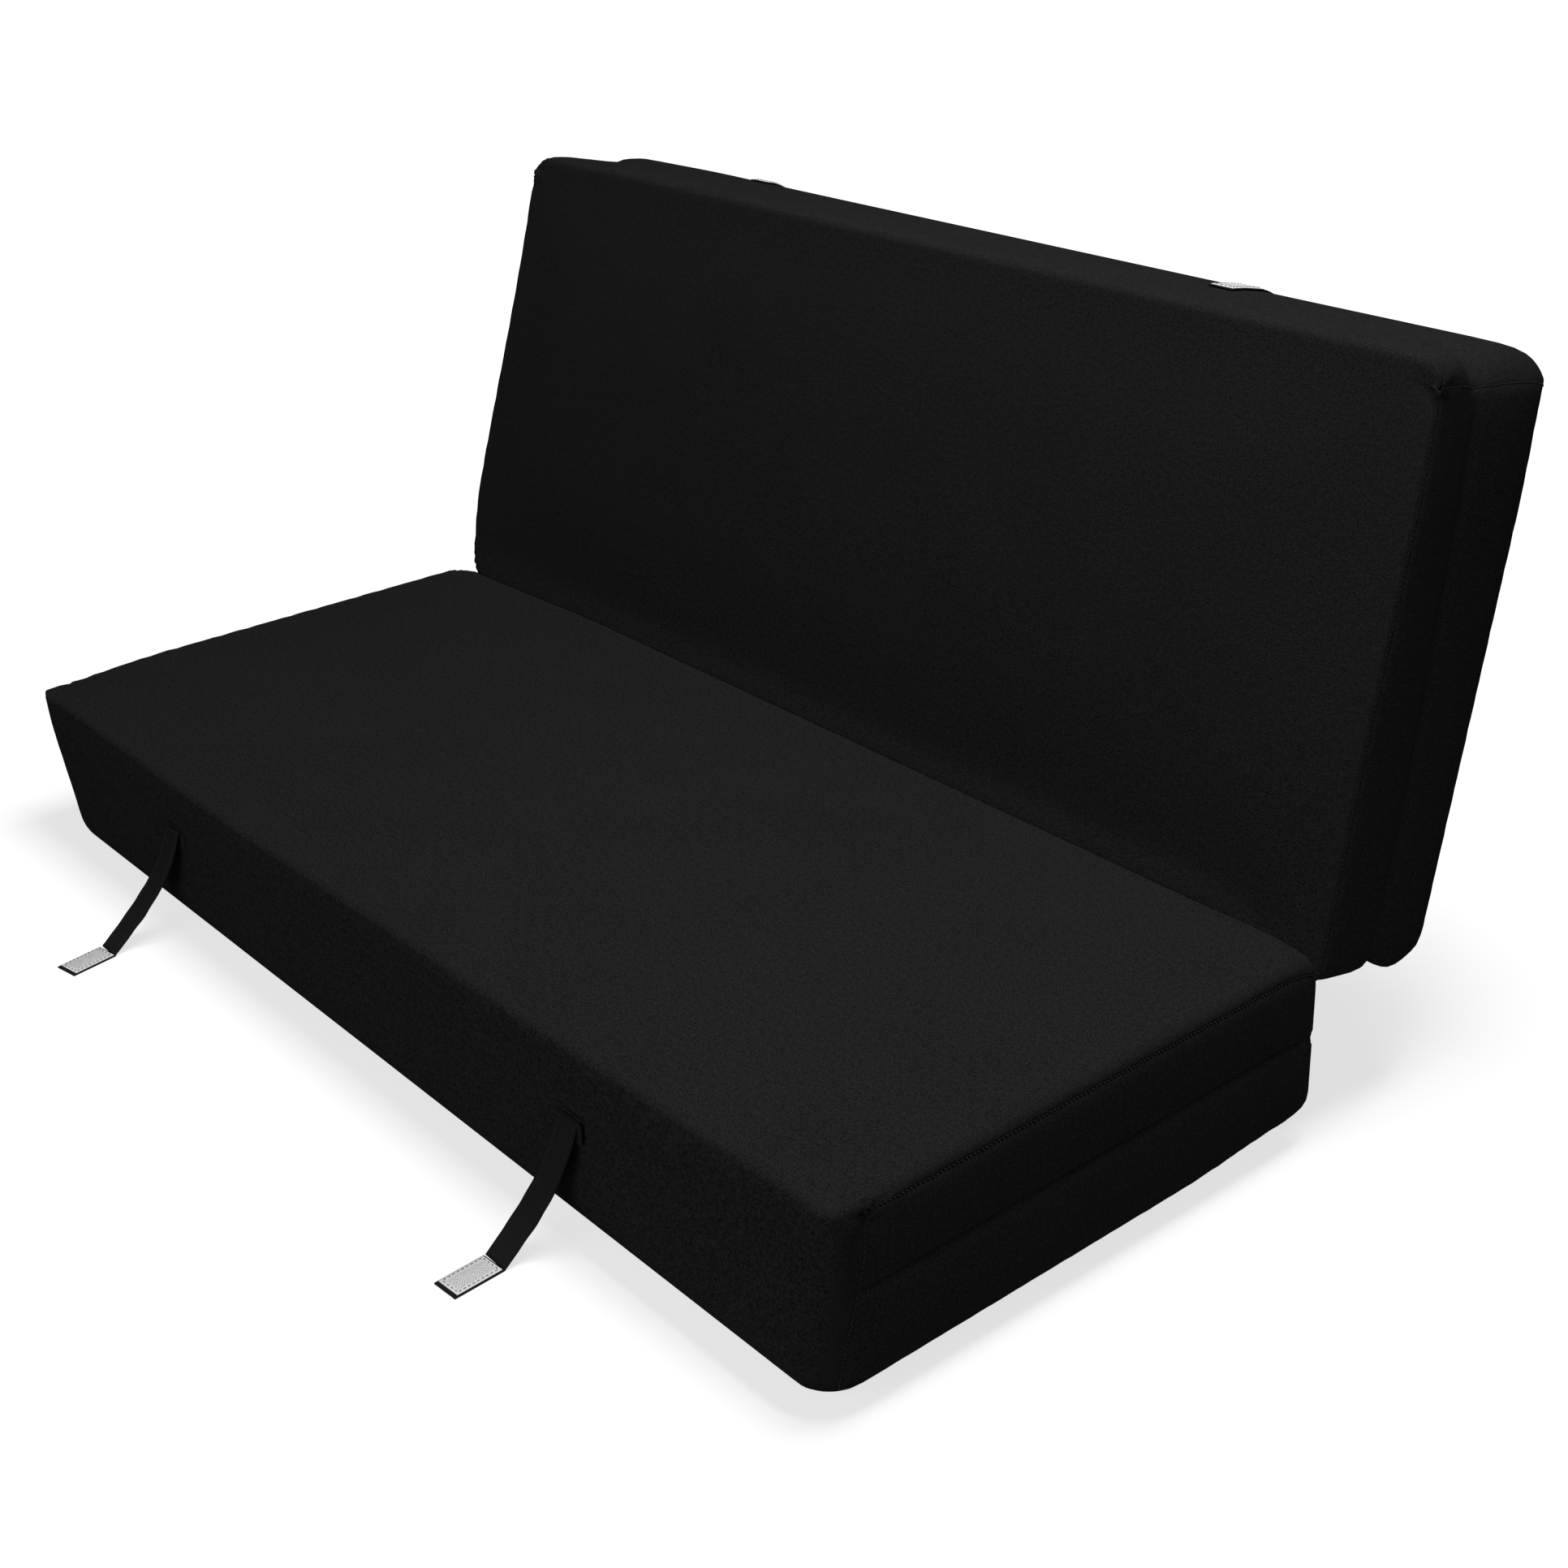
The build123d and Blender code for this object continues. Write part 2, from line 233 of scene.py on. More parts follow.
# ---------------------------------------------------------------- places in the solid model
def node_points(*names):
    """Every corner of these nodes, as rows of x, y, z."""
    rows = []
    for name in names:
        vertices = frame["nodes"][name].data.vertices
        points = np.empty(len(vertices) * 3)
        vertices.foreach_get("co", points)
        rows.append(points.reshape(-1, 3))
    return np.concatenate(rows)


class Cushion:
    """One cushion's own frame and the sizes that the solid model gives it."""

    def __init__(self, name, out, up, upright, rim):
        """`upright`: the upright seams in from the outer face. `rim`: the seams below the top."""
        self.name = name
        self.out = np.array(out)
        self.up = np.array(up)
        cover = node_points(*(f"{name}_{part}" for part in ("wrap_panel", "upper_boxing", "lower_boxing")))
        boxing = node_points(f"{name}_upper_boxing")
        self.start = (cover @ self.out).min()
        self.base = (cover @ self.up).min()
        self.half = cover[:, 0].max()
        self.depth = (cover @ self.out).max() - self.start
        self.thick = (cover @ self.up).max() - self.base
        self.waist = (boxing @ self.up).min() - self.base
        self.inset = self.depth - ((boxing @ self.out).max() - self.start)
        self.upright = upright
        self.rim = rim
        self.outer = self.depth - upright
        self.high = self.thick - rim

    def world(self, points):
        """Points of the cushion's frame in the model's frame."""
        points = np.asarray(points, float)
        along = points[..., 0:1] * np.array((1.0, 0.0, 0.0))
        return along + (points[..., 1:2] + self.start) * self.out + (points[..., 2:3] + self.base) * self.up

    def turned(self, vectors):
        """Directions of the cushion's frame in the model's frame."""
        vectors = np.asarray(vectors, float)
        along = vectors[..., 0:1] * np.array((1.0, 0.0, 0.0))
        return along + vectors[..., 1:2] * self.out + vectors[..., 2:3] * self.up

    def local(self, point):
        """A point of the model's frame in the cushion's frame."""
        point = np.array(point)
        return np.array([point[0], point @ self.out - self.start, point @ self.up - self.base])

    def faces(self, quads):
        """A grid's faces, turned round where the cushion's frame is left-handed."""
        return quads[:, ::-1] if np.cross((1, 0, 0), self.out) @ self.up < 0 else quads


RAISED = math.radians(-JOINTS["fold"]["range_deg"][0])
LEANING = (0, math.cos(RAISED), math.sin(RAISED)), (0, -math.sin(RAISED), math.cos(RAISED))
SEAT = Cushion("seat", (0, -1, 0), (0, 0, 1), upright=0.035, rim=0.011)
BACK = Cushion("back", *LEANING, upright=0.026, rim=0.005)
CUSHIONS = (SEAT, BACK)


# ---------------------------------------------------------------- meshes
def new_piece(name, points, faces, material, cloth=None):
    """A smooth mesh piece. `cloth` gives each point's place on the flat cloth, for the weave."""
    mesh = bpy.data.meshes.new(name)
    mesh.from_pydata(np.asarray(points).tolist(), [], [list(map(int, face)) for face in faces])
    mesh.polygons.foreach_set("use_smooth", [True] * len(mesh.polygons))
    if cloth is not None:
        attribute = mesh.attributes.new("cloth", "FLOAT_VECTOR", "POINT")
        attribute.data.foreach_set("vector", np.asarray(cloth, np.float32).ravel())
    piece = bpy.data.objects.new(name, mesh)
    bpy.context.scene.collection.objects.link(piece)
    piece.data.materials.append(material)
    return piece


def dress(piece, body=None, node=None):
    """Gives a piece the body that it rides on, and hides the node that it stands for."""
    if body:
        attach(piece, body)
    if node:
        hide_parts(node)


def unit(rows):
    """The same directions, each of length 1."""
    return rows / np.linalg.norm(rows, axis=1)[:, None]


def travelled(line):
    """How far along a line each of its points lies."""
    return np.concatenate([[0], np.cumsum(np.linalg.norm(np.diff(line, axis=0), axis=1))])


def sampled(stops, travel, rows):
    """Rows of three values, read at these places along a line."""
    return np.stack([np.interp(stops, travel, rows[:, k]) for k in range(3)], -1)


SQUARE = ((-1, -1), (1, -1), (1, 1), (-1, 1))


def tube_faces(start, section, count):
    """Faces of a closed tube of `count` rings from point `start` on, with flat caps."""
    faces = []
    for low in range(start, start + (count - 1) * section, section):
        for n in range(section):
            m = (n + 1) % section
            faces.append([low + n, low + m, low + section + m, low + section + n])
    faces.append([start + n for n in range(section)][::-1])
    faces.append([start + (count - 1) * section + n for n in range(section)])
    return faces


def swept(name, rings, material, cloth=None):
    """A closed piece through rings of points, with flat caps."""
    rings = np.asarray(rings)
    faces = tube_faces(0, rings.shape[1], rings.shape[0])
    return new_piece(name, rings.reshape(-1, 3), faces, material, cloth)


def normals_of(points, quads):
    """Unit normals of a grid's points."""
    a, b, c, d = (points[quads[:, n]] for n in range(4))
    faces = np.cross(c - a, d - b)
    normals = np.zeros_like(points)
    for n in range(4):
        np.add.at(normals, quads[:, n], faces)
    return unit(normals)


def filled(stops, step):
    """The stops, with each wide span cut into equal steps of about `step`."""
    values = [stops[0]]
    for low, high in zip(stops, stops[1:]):
        count = max(1, round((high - low) / step))
        values += [low + (high - low) * n / count for n in range(1, count + 1)]
    return np.array(values)


def halved(values):
    """The same values with the middle of each span between them."""
    return np.sort(np.concatenate([values, (values[1:] + values[:-1]) / 2]))


class Block:
    """The skin of a box as a grid, in rows on each of its six sides."""

    def __init__(self, axes):
        self.axes = axes
        shape = tuple(len(values) for values in axes)
        skin = np.ones(shape, bool)
        skin[1:-1, 1:-1, 1:-1] = False
        self.index = np.full(shape, -1)
        self.index[skin] = np.arange(skin.sum())
        self.cells = np.argwhere(skin)
        self.rest = np.stack([axes[n][self.cells[:, n]] for n in range(3)], 1)
        quads = []
        sides = []
        for axis in range(3):
            for end in (0, -1):
                grid = self.index.take(end, axis)
                corners = [grid[:-1, :-1], grid[1:, :-1], grid[1:, 1:], grid[:-1, 1:]]
                quad = np.stack(corners, -1).reshape(-1, 4)
                if (end == 0) != (axis == 1):
                    quad = quad[:, ::-1]
                quads.append(quad)
                sides += [(axis, end)] * len(quad)
        self.quads = np.concatenate(quads)
        self.sides = np.array(sides)

    def halved(self):
        """The block with twice as many rows each way."""
        return Block([halved(values) for values in self.axes])

    def carry(self, fine, values):
        """Values at this block's points, carried to the points of its halved block."""
        low = fine.cells // 2
        high = (fine.cells + 1) // 2
        total = np.zeros((len(fine.cells),) + values.shape[1:])
        for picks in np.ndindex(2, 2, 2):
            i, j, k = (np.where(pick, high[:, n], low[:, n]) for n, pick in enumerate(picks))
            total += values[self.index[i, j, k]]
        return total / 8


# ---------------------------------------------------------------- forms of the cushions
def edge_rows(seam):
    """Distances in from an edge at which the grid has rows, for a seam so far in."""
    near = [0.0, 0.004, 0.009, 0.016] if seam > 0.02 else [0.0, seam * 0.45]
    return near + [seam - 0.0012, seam, seam + 0.0012, seam + 0.013, seam + 0.034]


def both_ends(cushion, edge):
    """Rows so far in from both ends of the cushion, along X."""
    return [row - cushion.half for row in edge] + [cushion.half - row for row in edge[::-1]]


WAIST_ROWS = (-0.013, -0.0085, -0.004, -0.0012, 0.0, 0.0012, 0.004, 0.0085, 0.013)


def cushion_block(cushion):
    """The grid of a cushion's cover, with rows along every seam."""
    edge = edge_rows(cushion.inset)
    us = edge + [cushion.outer + cushion.upright - row for row in edge_rows(cushion.upright)[::-1]]
    waist = [cushion.waist + row for row in WAIST_ROWS]
    zs = edge + waist + [cushion.high + cushion.rim - row for row in edge_rows(cushion.rim)[::-1]]
    return Block([filled(both_ends(cushion, edge), 0.030), filled(us, 0.024), filled(zs, 0.022)])


def outline_gap(a, b, low, high, radii):
    """Signed distance from a rectangle with rounded corners: radii from its lower left, anticlockwise."""
    a_size = (high[0] - low[0]) / 2
    b_size = (high[1] - low[1]) / 2
    a = a - low[0] - a_size
    b = b - low[1] - b_size
    radius = np.where(a < 0, np.where(b < 0, radii[0], radii[3]), np.where(b < 0, radii[1], radii[2]))
    a = np.abs(a) - a_size + radius
    b = np.abs(b) - b_size + radius
    corner = np.hypot(np.maximum(a, 0), np.maximum(b, 0))
    return np.minimum(np.maximum(a, b), 0) + corner - radius


def form_gap(cushion, points, inset):
    """Signed distance from the rounded block, seen from the end, the front and above."""
    s = bpy.context.scene.futon_cover
    x, u, z = points.T
    low = inset
    end = cushion.half - inset
    top = cushion.thick - inset
    outer = cushion.depth - inset
    if cushion is SEAT:
        fold_under, fold_left, end_edge = s.seat_under, s.fold_left, s.end_edge
        sharp, blunt, end_under = s.seat_corner, s.blunt_corner, s.end_under
    else:
        fold_under, fold_left, end_edge = s.fold_under, s.back_left, s.back_edge
        sharp, blunt, end_under = s.outer_corner, s.back_corner, s.back_under
    side_radii = [fold_under, s.outer_under, s.roll, s.fold_edge]
    end_radii = [end_under, end_under, end_edge, end_edge]
    sharp = sharp + s.left_corner * (x < 0)
    blunt = sharp + (blunt - sharp) * (1 - eased(z, 0.04, 0.17))
    plan_radii = [fold_left + 0 * z, s.fold_corner + 0 * z, blunt, blunt]
    side = outline_gap(u, z, (low, low), (outer, top), [max(r - inset, 0.002) for r in side_radii])
    front = outline_gap(x, z, (-end, low), (end, top), [max(r - inset, 0.002) for r in end_radii])
    plan = outline_gap(x, u, (-end, low), (end, outer), [np.maximum(r - inset, 0.002) for r in plan_radii])
    corner = np.stack([np.abs(x) - end, u - outer, low - z]) + blunt - inset
    ball = np.linalg.norm(np.maximum(corner, 0), axis=0) - blunt + inset
    ball[(corner[0] < 0) | (corner[1] < 0)] = -FAR
    return np.maximum.reduce([side, front, plan, ball])


def rounded(cushion, points, inset=0.0, core=0.07, level=False):
    """Points outside the rounded block, drawn in to its surface: to its core, or `level` with it."""
    limits = np.array([cushion.half, cushion.depth, cushion.thick])
    low = np.array([-cushion.half, 0.0, 0.0]) + core
    anchors = np.clip(points, low, limits - core)
    if level:
        anchors[:, 2] = points[:, 2]
    near = np.zeros(len(points))
    far = np.ones(len(points))
    for _ in range(30):
        middle = (near + far) / 2
        outside = form_gap(cushion, anchors + middle[:, None] * (points - anchors), inset) > 0
        far = np.where(outside, middle, far)
        near = np.where(outside, near, middle)
    share = np.where(form_gap(cushion, points, inset) > 0, near, 1.0)
    return anchors + share[:, None] * (points - anchors)


def eased(values, start, end):
    """0 before `start`, 1 after `end` and smooth between them."""
    share = np.clip((values - start) / (end - start), 0, 1)
    return share * share * (3 - 2 * share)


def fall(values, start, end):
    """0 before `start`, falling away ever faster to 1 at `end`, as round the edge of a ball."""
    share = np.clip((values - start) / (end - start), 0, 1)
    return 1 - np.sqrt(1 - share * share)


# How far in from its ends a cushion settles, the size of a dent in x, u and z, and how much deeper
# the dents are at the left end.
LEFT_REACH = 0.35
RIGHT_REACH = 0.14
DENT_REACH = (0.055, 0.03, 0.024)
LEFT_DENT = 1.8


def settled(cushion, points):
    """The points of a cushion after its filling has settled: left end drawn in, corners sunk."""
    s = bpy.context.scene.futon_cover
    x, u, z = points.T
    left = eased(-x, cushion.half - LEFT_REACH, cushion.half)
    right = eased(x, cushion.half - RIGHT_REACH, cushion.half)
    near_fold = 1 - eased(u, 0.0, 0.10)
    at_fold = 1 - eased(u, 0.0, 0.03)
    upper = eased(z, 0.06, cushion.thick)
    inward = (cushion.half - np.abs(x), cushion.depth - u, z - cushion.waist)
    away = np.stack([gap / reach for gap, reach in zip(inward, DENT_REACH)])
    dent = s.dent * np.where(x < 0, LEFT_DENT, 1.0) * hill(np.linalg.norm(away, axis=0), 1.0)
    draw = s.end_draw * left
    if cushion is SEAT:
        by_front = eased(u, 0.42, cushion.depth)
        draw += s.seat_draw * left * np.clip((cushion.thick - z) / 0.15, 0, 1)
        front = eased(-x, -0.35, 0.35) * by_front
        rise = -upper * (s.seat_sink * left + s.front_sink * front * (1 - left))
        rise -= s.tip_sink * upper * eased(-x, cushion.half - 0.12, cushion.half) * by_front
        rise -= s.corner_sink * fall(x, cushion.half - 0.08, cushion.half) * fall(-u, -0.055, 0) * upper
        rise += s.heel * right * (1 - eased(u, 0.0, 0.16)) * (1 - eased(z, 0.0, 0.10))
        outward = -s.bulge * right * near_fold
        outward -= s.front_set * np.clip((x - 0.3) / 0.4, 0, 1) * eased(u, 0.35, 0.55) * eased(z, 0.04, 0.16)
    else:
        draw += s.back_draw * left * eased(u, 0.0, 0.5)
        top = eased(u, 0.40, cushion.depth - 0.02)
        outward = -dent - top * s.top_slope * np.clip((z - 0.06) / 0.14, 0, 1)
        outward -= top * s.shoulder * eased(-x, 0.45, 0.65)
        low_lobe = 1.8 * np.sin(math.pi * np.clip(z / cushion.waist, 0, 1) ** 1.5)
        high_lobe = np.sin(math.pi * np.clip((z - cushion.waist) / 0.05, 0, 0.5))
        lobe = np.where(z < cushion.waist, low_lobe, high_lobe)
        hang = s.hang * eased(z, 0.02, 0.09) + s.lobes * lobe
        meeting = s.meeting * (1 - 0.6 * right)
        outward -= hang * right * near_fold + (meeting + s.seat_sink * left) * at_fold * upper
        rise = s.face_out * right * upper * eased(u, 0.02, 0.2) + meeting * 0.7 * at_fold * upper
        draw += s.fold_draw * left * (2 - eased(u, 0.0, 0.1)) - np.sign(x) * dent
        draw += s.end_out * right * (1 - top)
        rise += s.waist_lift * right * eased(u, 0.1, 0.5) * hill(z - cushion.waist, 0.04)
    return points + np.stack([draw, outward, rise], 1)


def formed(cushion, rest):
    """The cover's form before it swells: upright seams slanted, corners rounded, filling settled."""
    s = bpy.context.scene.futon_cover
    shift = np.zeros_like(rest)
    if cushion is SEAT:
        shift[:, 1] = s.slant * hill(rest[:, 1] - cushion.outer, 0.022) * (1 - rest[:, 2] / cushion.thick)
    return settled(cushion, rounded(cushion, rest + shift))


def hill(distance, width):
    """A smooth hump: 1 at no distance, fading over `width`."""
    return np.exp(-((distance / width) ** 2))


def ripple(values, *waves):
    """An even, repeatable unevenness from -1 to 1 along `values`, made of a few wave lengths."""
    total = np.zeros_like(values)
    for n, wave in enumerate(waves):
        total += np.sin(2 * math.pi * values / wave + 1.7 * n + 0.6)
    return total / len(waves)


def seam_gaps(cushion, rest):
    """How far each point of the cover lies from the boxing seams and from the waist seam."""
    x, u, z = rest.T
    outer = cushion.outer
    low = cushion.inset
    high = cushion.high
    on_end = np.isclose(np.abs(x), cushion.half)
    on_fold = np.isclose(u, 0)
    rim = np.minimum(np.abs(z - low), np.abs(z - high))
    past = np.maximum(u - outer, 0)
    above = np.maximum(np.maximum(low - z, z - high), 0)
    end_seam = np.minimum(np.hypot(past, rim), np.hypot(u - outer, above))
    seam = np.where(on_end, end_seam, np.where(on_fold, rim, FAR))
    across = z - cushion.waist
    waist = np.where(on_end, np.hypot(past, across), np.where(on_fold, np.abs(across), FAR))
    return seam, waist


def swell_limits(cushion, rest):
    """The most that each point of the cover may swell over its filling."""
    s = bpy.context.scene.futon_cover
    x, u, z = rest.T
    limit = np.zeros(len(rest))
    on_end = np.isclose(np.abs(x), cushion.half)
    limit[np.isclose(u, cushion.depth)] = s.outer_swell
    limit[on_end] = s.side_swell
    inside = np.minimum(np.minimum(u, cushion.depth - u), cushion.half - np.abs(x))
    limit = np.where(np.isclose(z, cushion.thick), s.crown * eased(inside, 0.0, 0.16), limit)
    limit[np.isclose(u, 0) | np.isclose(z, 0)] = 0
    seam, waist = seam_gaps(cushion, rest)
    limit[(seam < 0.003) | (waist < 0.003)] = 0
    for side in SIDES:
        low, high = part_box(f"{cushion.name}_strap_{side}_anchor")
        root = cushion.local((low + high) / 2)
        limit *= 1 - hill(np.linalg.norm(rest - root, axis=1), 0.05)
    return limit


def swollen(cushion, block, points):
    """How each point moves when the filling pushes the cover out, by cloth simulation."""
    s = bpy.context.scene.futon_cover
    limit = swell_limits(cushion, block.rest)
    faces = cushion.faces(block.quads)
    piece = new_piece("cover_cloth", cushion.world(points), faces, bpy.data.materials.new("simulation"))
    held = piece.vertex_groups.new(name="held")
    held.add(np.flatnonzero(limit == 0).tolist(), 1.0, "REPLACE")
    cloth = piece.modifiers.new("Swell", "CLOTH")
    cloth.settings.vertex_group_mass = "held"
    cloth.settings.use_pressure = True
    cloth.settings.uniform_pressure_force = s.pressure
    cloth.settings.effector_weights.gravity = 0
    cloth.settings.quality = 6
    for number in range(1, 21):
        bpy.context.scene.frame_set(number)
    result = piece.evaluated_get(bpy.context.evaluated_depsgraph_get()).data.vertices
    moved = np.empty(len(result) * 3)
    result.foreach_get("co", moved)
    moves = moved.reshape(-1, 3) - cushion.world(points)
    bpy.data.objects.remove(piece)
    bpy.context.scene.frame_set(1)
    moves = np.stack([moves[:, 0], moves @ cushion.out, moves @ cushion.up], 1)
    normals = normals_of(points, block.quads)
    rise = np.maximum((moves * normals).sum(1), 0)
    rise = np.where(limit > 0, np.tanh(rise / np.maximum(limit, 1e-9)) * limit, 0)
    return normals * rise[:, None]


# Half widths of the zip channel at its top and its floor, and how much fainter the upright seams are.
CHANNEL_EDGE = 0.0085
CHANNEL_FLOOR = 0.004
UPRIGHT_GROOVE = 0.2
UPRIGHT_PULL = 0.3


def drawn_in(cushion, block, points):
    """The cover with its seams, waist and zip channel drawn in, and with the puckers beside them."""
    s = bpy.context.scene.futon_cover
    x, u, z = block.rest.T
    seam, waist = seam_gaps(cushion, block.rest)
    on_fold = np.isclose(u, 0)
    on_end = np.isclose(np.abs(x), cushion.half)
    run = x + u
    uneven = 1 + 0.25 * ripple(run, 0.083, 0.131, 0.213)
    upright = on_end & (np.abs(u - cushion.outer) < 0.0015)
    near_upright = on_end & (np.abs(u - cushion.outer) < 0.02) & (z < cushion.high - 0.012)
    depth = s.seam_groove * np.where(upright, UPRIGHT_GROOVE, 1) * np.maximum(1 - seam / 0.0012, 0)
    depth += s.seam_pull * np.where(near_upright, UPRIGHT_PULL, 1) * hill(seam, 0.0065) * uneven
    depth += np.where(on_fold, 0, s.seam_groove * s.seam_soft * np.maximum(1 - waist / 0.0022, 0))
    depth += np.where(on_fold, 0, s.waist_pull * hill(waist, 0.008) * uneven)
    channel = np.clip((CHANNEL_EDGE - waist) / (CHANNEL_EDGE - CHANNEL_FLOOR), 0, 1)
    depth += np.where(on_fold, s.zip_channel * channel, 0)
    beside = np.where(np.isclose(z, cushion.thick), cushion.half - np.abs(x), seam)
    depth += s.pucker * hill(beside, 0.013) * ripple(u + 0.7 * z, 0.019, 0.031, 0.047)
    normals = normals_of(points, block.quads)
    points = points - normals * depth[:, None]
    for end in (-1, 1):
        knot = block.rest - np.array([end * cushion.half, cushion.outer, cushion.high])
        angle = np.arctan2(knot[:, 2], knot[:, 1] + 0.5 * knot[:, 0])
        folds = hill(np.linalg.norm(knot, axis=1), 0.026) * (0.6 + np.sin(5 * angle + 1.1))
        points = points - normals * (s.corner_fold * folds)[:, None]
    return points


def panel_masks(cushion, block):
    """Which faces of the grid belong to the wrap panel and to each boxing strip."""
    centre = block.rest[block.quads].mean(1)
    axis = block.sides[:, 0]
    end = block.sides[:, 1]
    band = (centre[:, 2] > cushion.inset) & (centre[:, 2] < cushion.high)
    on_end = (axis == 0) & (centre[:, 1] < cushion.outer)
    on_fold = (axis == 1) & (end == 0)
    boxing = band & (on_end | on_fold)
    upper = centre[:, 2] > cushion.waist
    return {"wrap_panel": ~boxing, "upper_boxing": boxing & upper, "lower_boxing": boxing & ~upper}


SKINS = {}


def covers():
    """Builds the three cover panels of both cushions, and keeps their skins for what lies on them."""
    s = bpy.context.scene.futon_cover
    material = cover_cloth()
    for cushion in CUSHIONS:
        coarse = cushion_block(cushion)
        shape = formed(cushion, coarse.rest)
        moves = swollen(cushion, coarse, shape)
        block = coarse.halved()
        points = formed(cushion, block.rest) + coarse.carry(block, moves)
        points = drawn_in(cushion, block, points)
        points[:, 2] = np.maximum(points[:, 2], 0)
        quads = cushion.faces(block.quads)
        world = cushion.world(points)
        SKINS[cushion.name] = (block, points)
        for part, mask in panel_masks(cushion, block).items():
            used, faces = np.unique(quads[mask], return_inverse=True)
            name = f"{cushion.name}_{part}"
            piece = new_piece(f"{name}_cloth", world[used], faces.reshape(-1, 4), material, block.rest[used])
            shell = piece.modifiers.new("Thickness", "SOLIDIFY")
            shell.thickness = s.sheet
            shell.offset = -1
            dress(piece, cushion.name, name)


# ---------------------------------------------------------------- fillings
def slab(cushion, name, low, high, inset, material):
    """One layer of the filling, cut to the cushion's rounded form."""
    s = bpy.context.scene.futon_filling
    edge = [inset, inset + 0.012, inset + 0.035]
    us = edge + [cushion.depth - row for row in edge[::-1]]
    block = Block([filled(both_ends(cushion, edge), 0.05), filled(us, 0.05), filled([low, high], 0.03)])
    points = settled(cushion, rounded(cushion, block.rest, s.clear, level=True))
    faces = cushion.faces(block.quads)
    return new_piece(f"{name}_layer", cushion.world(points), faces, material, block.rest)


def fillings():
    """Builds the wadding and foam of both cushions."""
    s = bpy.context.scene.futon_filling
    fleece = foam("wadding_fleece", s.fleece, 0.002, 0.6)
    soft = foam("comfort_foam_cells", s.comfort, 0.0012, 0.4)
    firm = foam("base_foam_cells", s.base, 0.0009, 0.35)
    for cushion in CUSHIONS:
        top = cushion.thick - s.clear
        layers = {
            "base_wadding": (s.clear, s.clear + s.quilt, fleece),
            "base_foam": (s.clear + s.quilt, cushion.waist, firm),
            "comfort_foam": (cushion.waist, top - s.quilt, soft),
            "top_wadding": (top - s.quilt, top, fleece),
        }
        for part, (low, high, material) in layers.items():
            name = f"{cushion.name}_{part}"
            piece = slab(cushion, name, low, high, s.inset, material)
            dress(piece, cushion.name, name)


# ---------------------------------------------------------------- stitches
def stitch_mesh(line, outward):
    """Points and faces of a run of stitches along a line, standing a little out of the cloth."""
    s = bpy.context.scene.futon_stitch
    line = np.asarray(line)
    outward = np.asarray(outward)
    travel = travelled(line)
    count = max(1, int(travel[-1] / s.pitch))
    points = []
    faces = []
    shares = (0.0, 0.18, 0.5, 0.82, 1.0)
    radii = (0.35, 1.0, 1.1, 1.0, 0.35)
    rises = (-0.6, 0.5, 0.9, 0.5, -0.6)
    for n in range(count):
        start = (n + 0.5) * travel[-1] / count - s.stitch / 2
        at = [start + share * s.stitch for share in shares]
        centre = sampled(at, travel, line)
        normal = sampled(at, travel, outward)
        along = centre[-1] - centre[0]
        along = along / np.linalg.norm(along)
        base = len(points)
        for k in range(5):
            side = np.cross(along, normal[k])
            middle = centre[k] + normal[k] * rises[k] * s.gauge
            for turn in range(4):
                angle = math.pi / 4 + turn * math.pi / 2
                reach = radii[k] * s.gauge
                points.append(middle + reach * (math.cos(angle) * side + math.sin(angle) * normal[k]))
        faces += tube_faces(base, 4, len(shares))
    return points, faces


def stitch_piece(name, runs, material):
    """One piece of thread with every run of stitches in it."""
    points = []
    faces = []
    for line, outward in runs:
        more, quads = stitch_mesh(line, outward)
        faces += [[index + len(points) for index in face] for face in quads]
        points += more
    return new_piece(name, points, faces, material)


def seam_rows(cushion, offset):
    """Rows of grid points that run beside the boxing seams, `offset` outside them, as index lists."""
    block, _ = SKINS[cushion.name]
    xs, us, zs = block.axes
    rows = []
    u_row = np.abs(us - (cushion.outer + offset)).argmin()
    low = np.abs(zs - (cushion.inset - offset)).argmin()
    high = np.abs(zs - (cushion.high + offset)).argmin()
    for end in (0, len(xs) - 1):
        rows.append([block.index[end, j, high] for j in range(0, u_row + 1)])
        rows.append([block.index[end, u_row, k] for k in range(low, high + 1)])
        rows.append([block.index[end, j, low] for j in range(0, u_row + 1)])
    for k in (low, high):
        rows.append([block.index[i, 0, k] for i in range(len(xs))])
    return rows


def topstitching():
    """Builds the topstitching beside the boxing seams."""
    s = bpy.context.scene.futon_stitch
    material = thread_twist()
    for cushion in CUSHIONS:
        block, points = SKINS[cushion.name]
        normals = normals_of(points, block.quads)
        runs = []
        for row in seam_rows(cushion, 0.0024):
            line = cushion.world(points[row] + normals[row] * s.gauge * 0.3)
            runs.append((line, cushion.turned(normals[row])))
        piece = stitch_piece(f"{cushion.name}_topstitching", runs, material)
        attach(piece, cushion.name)


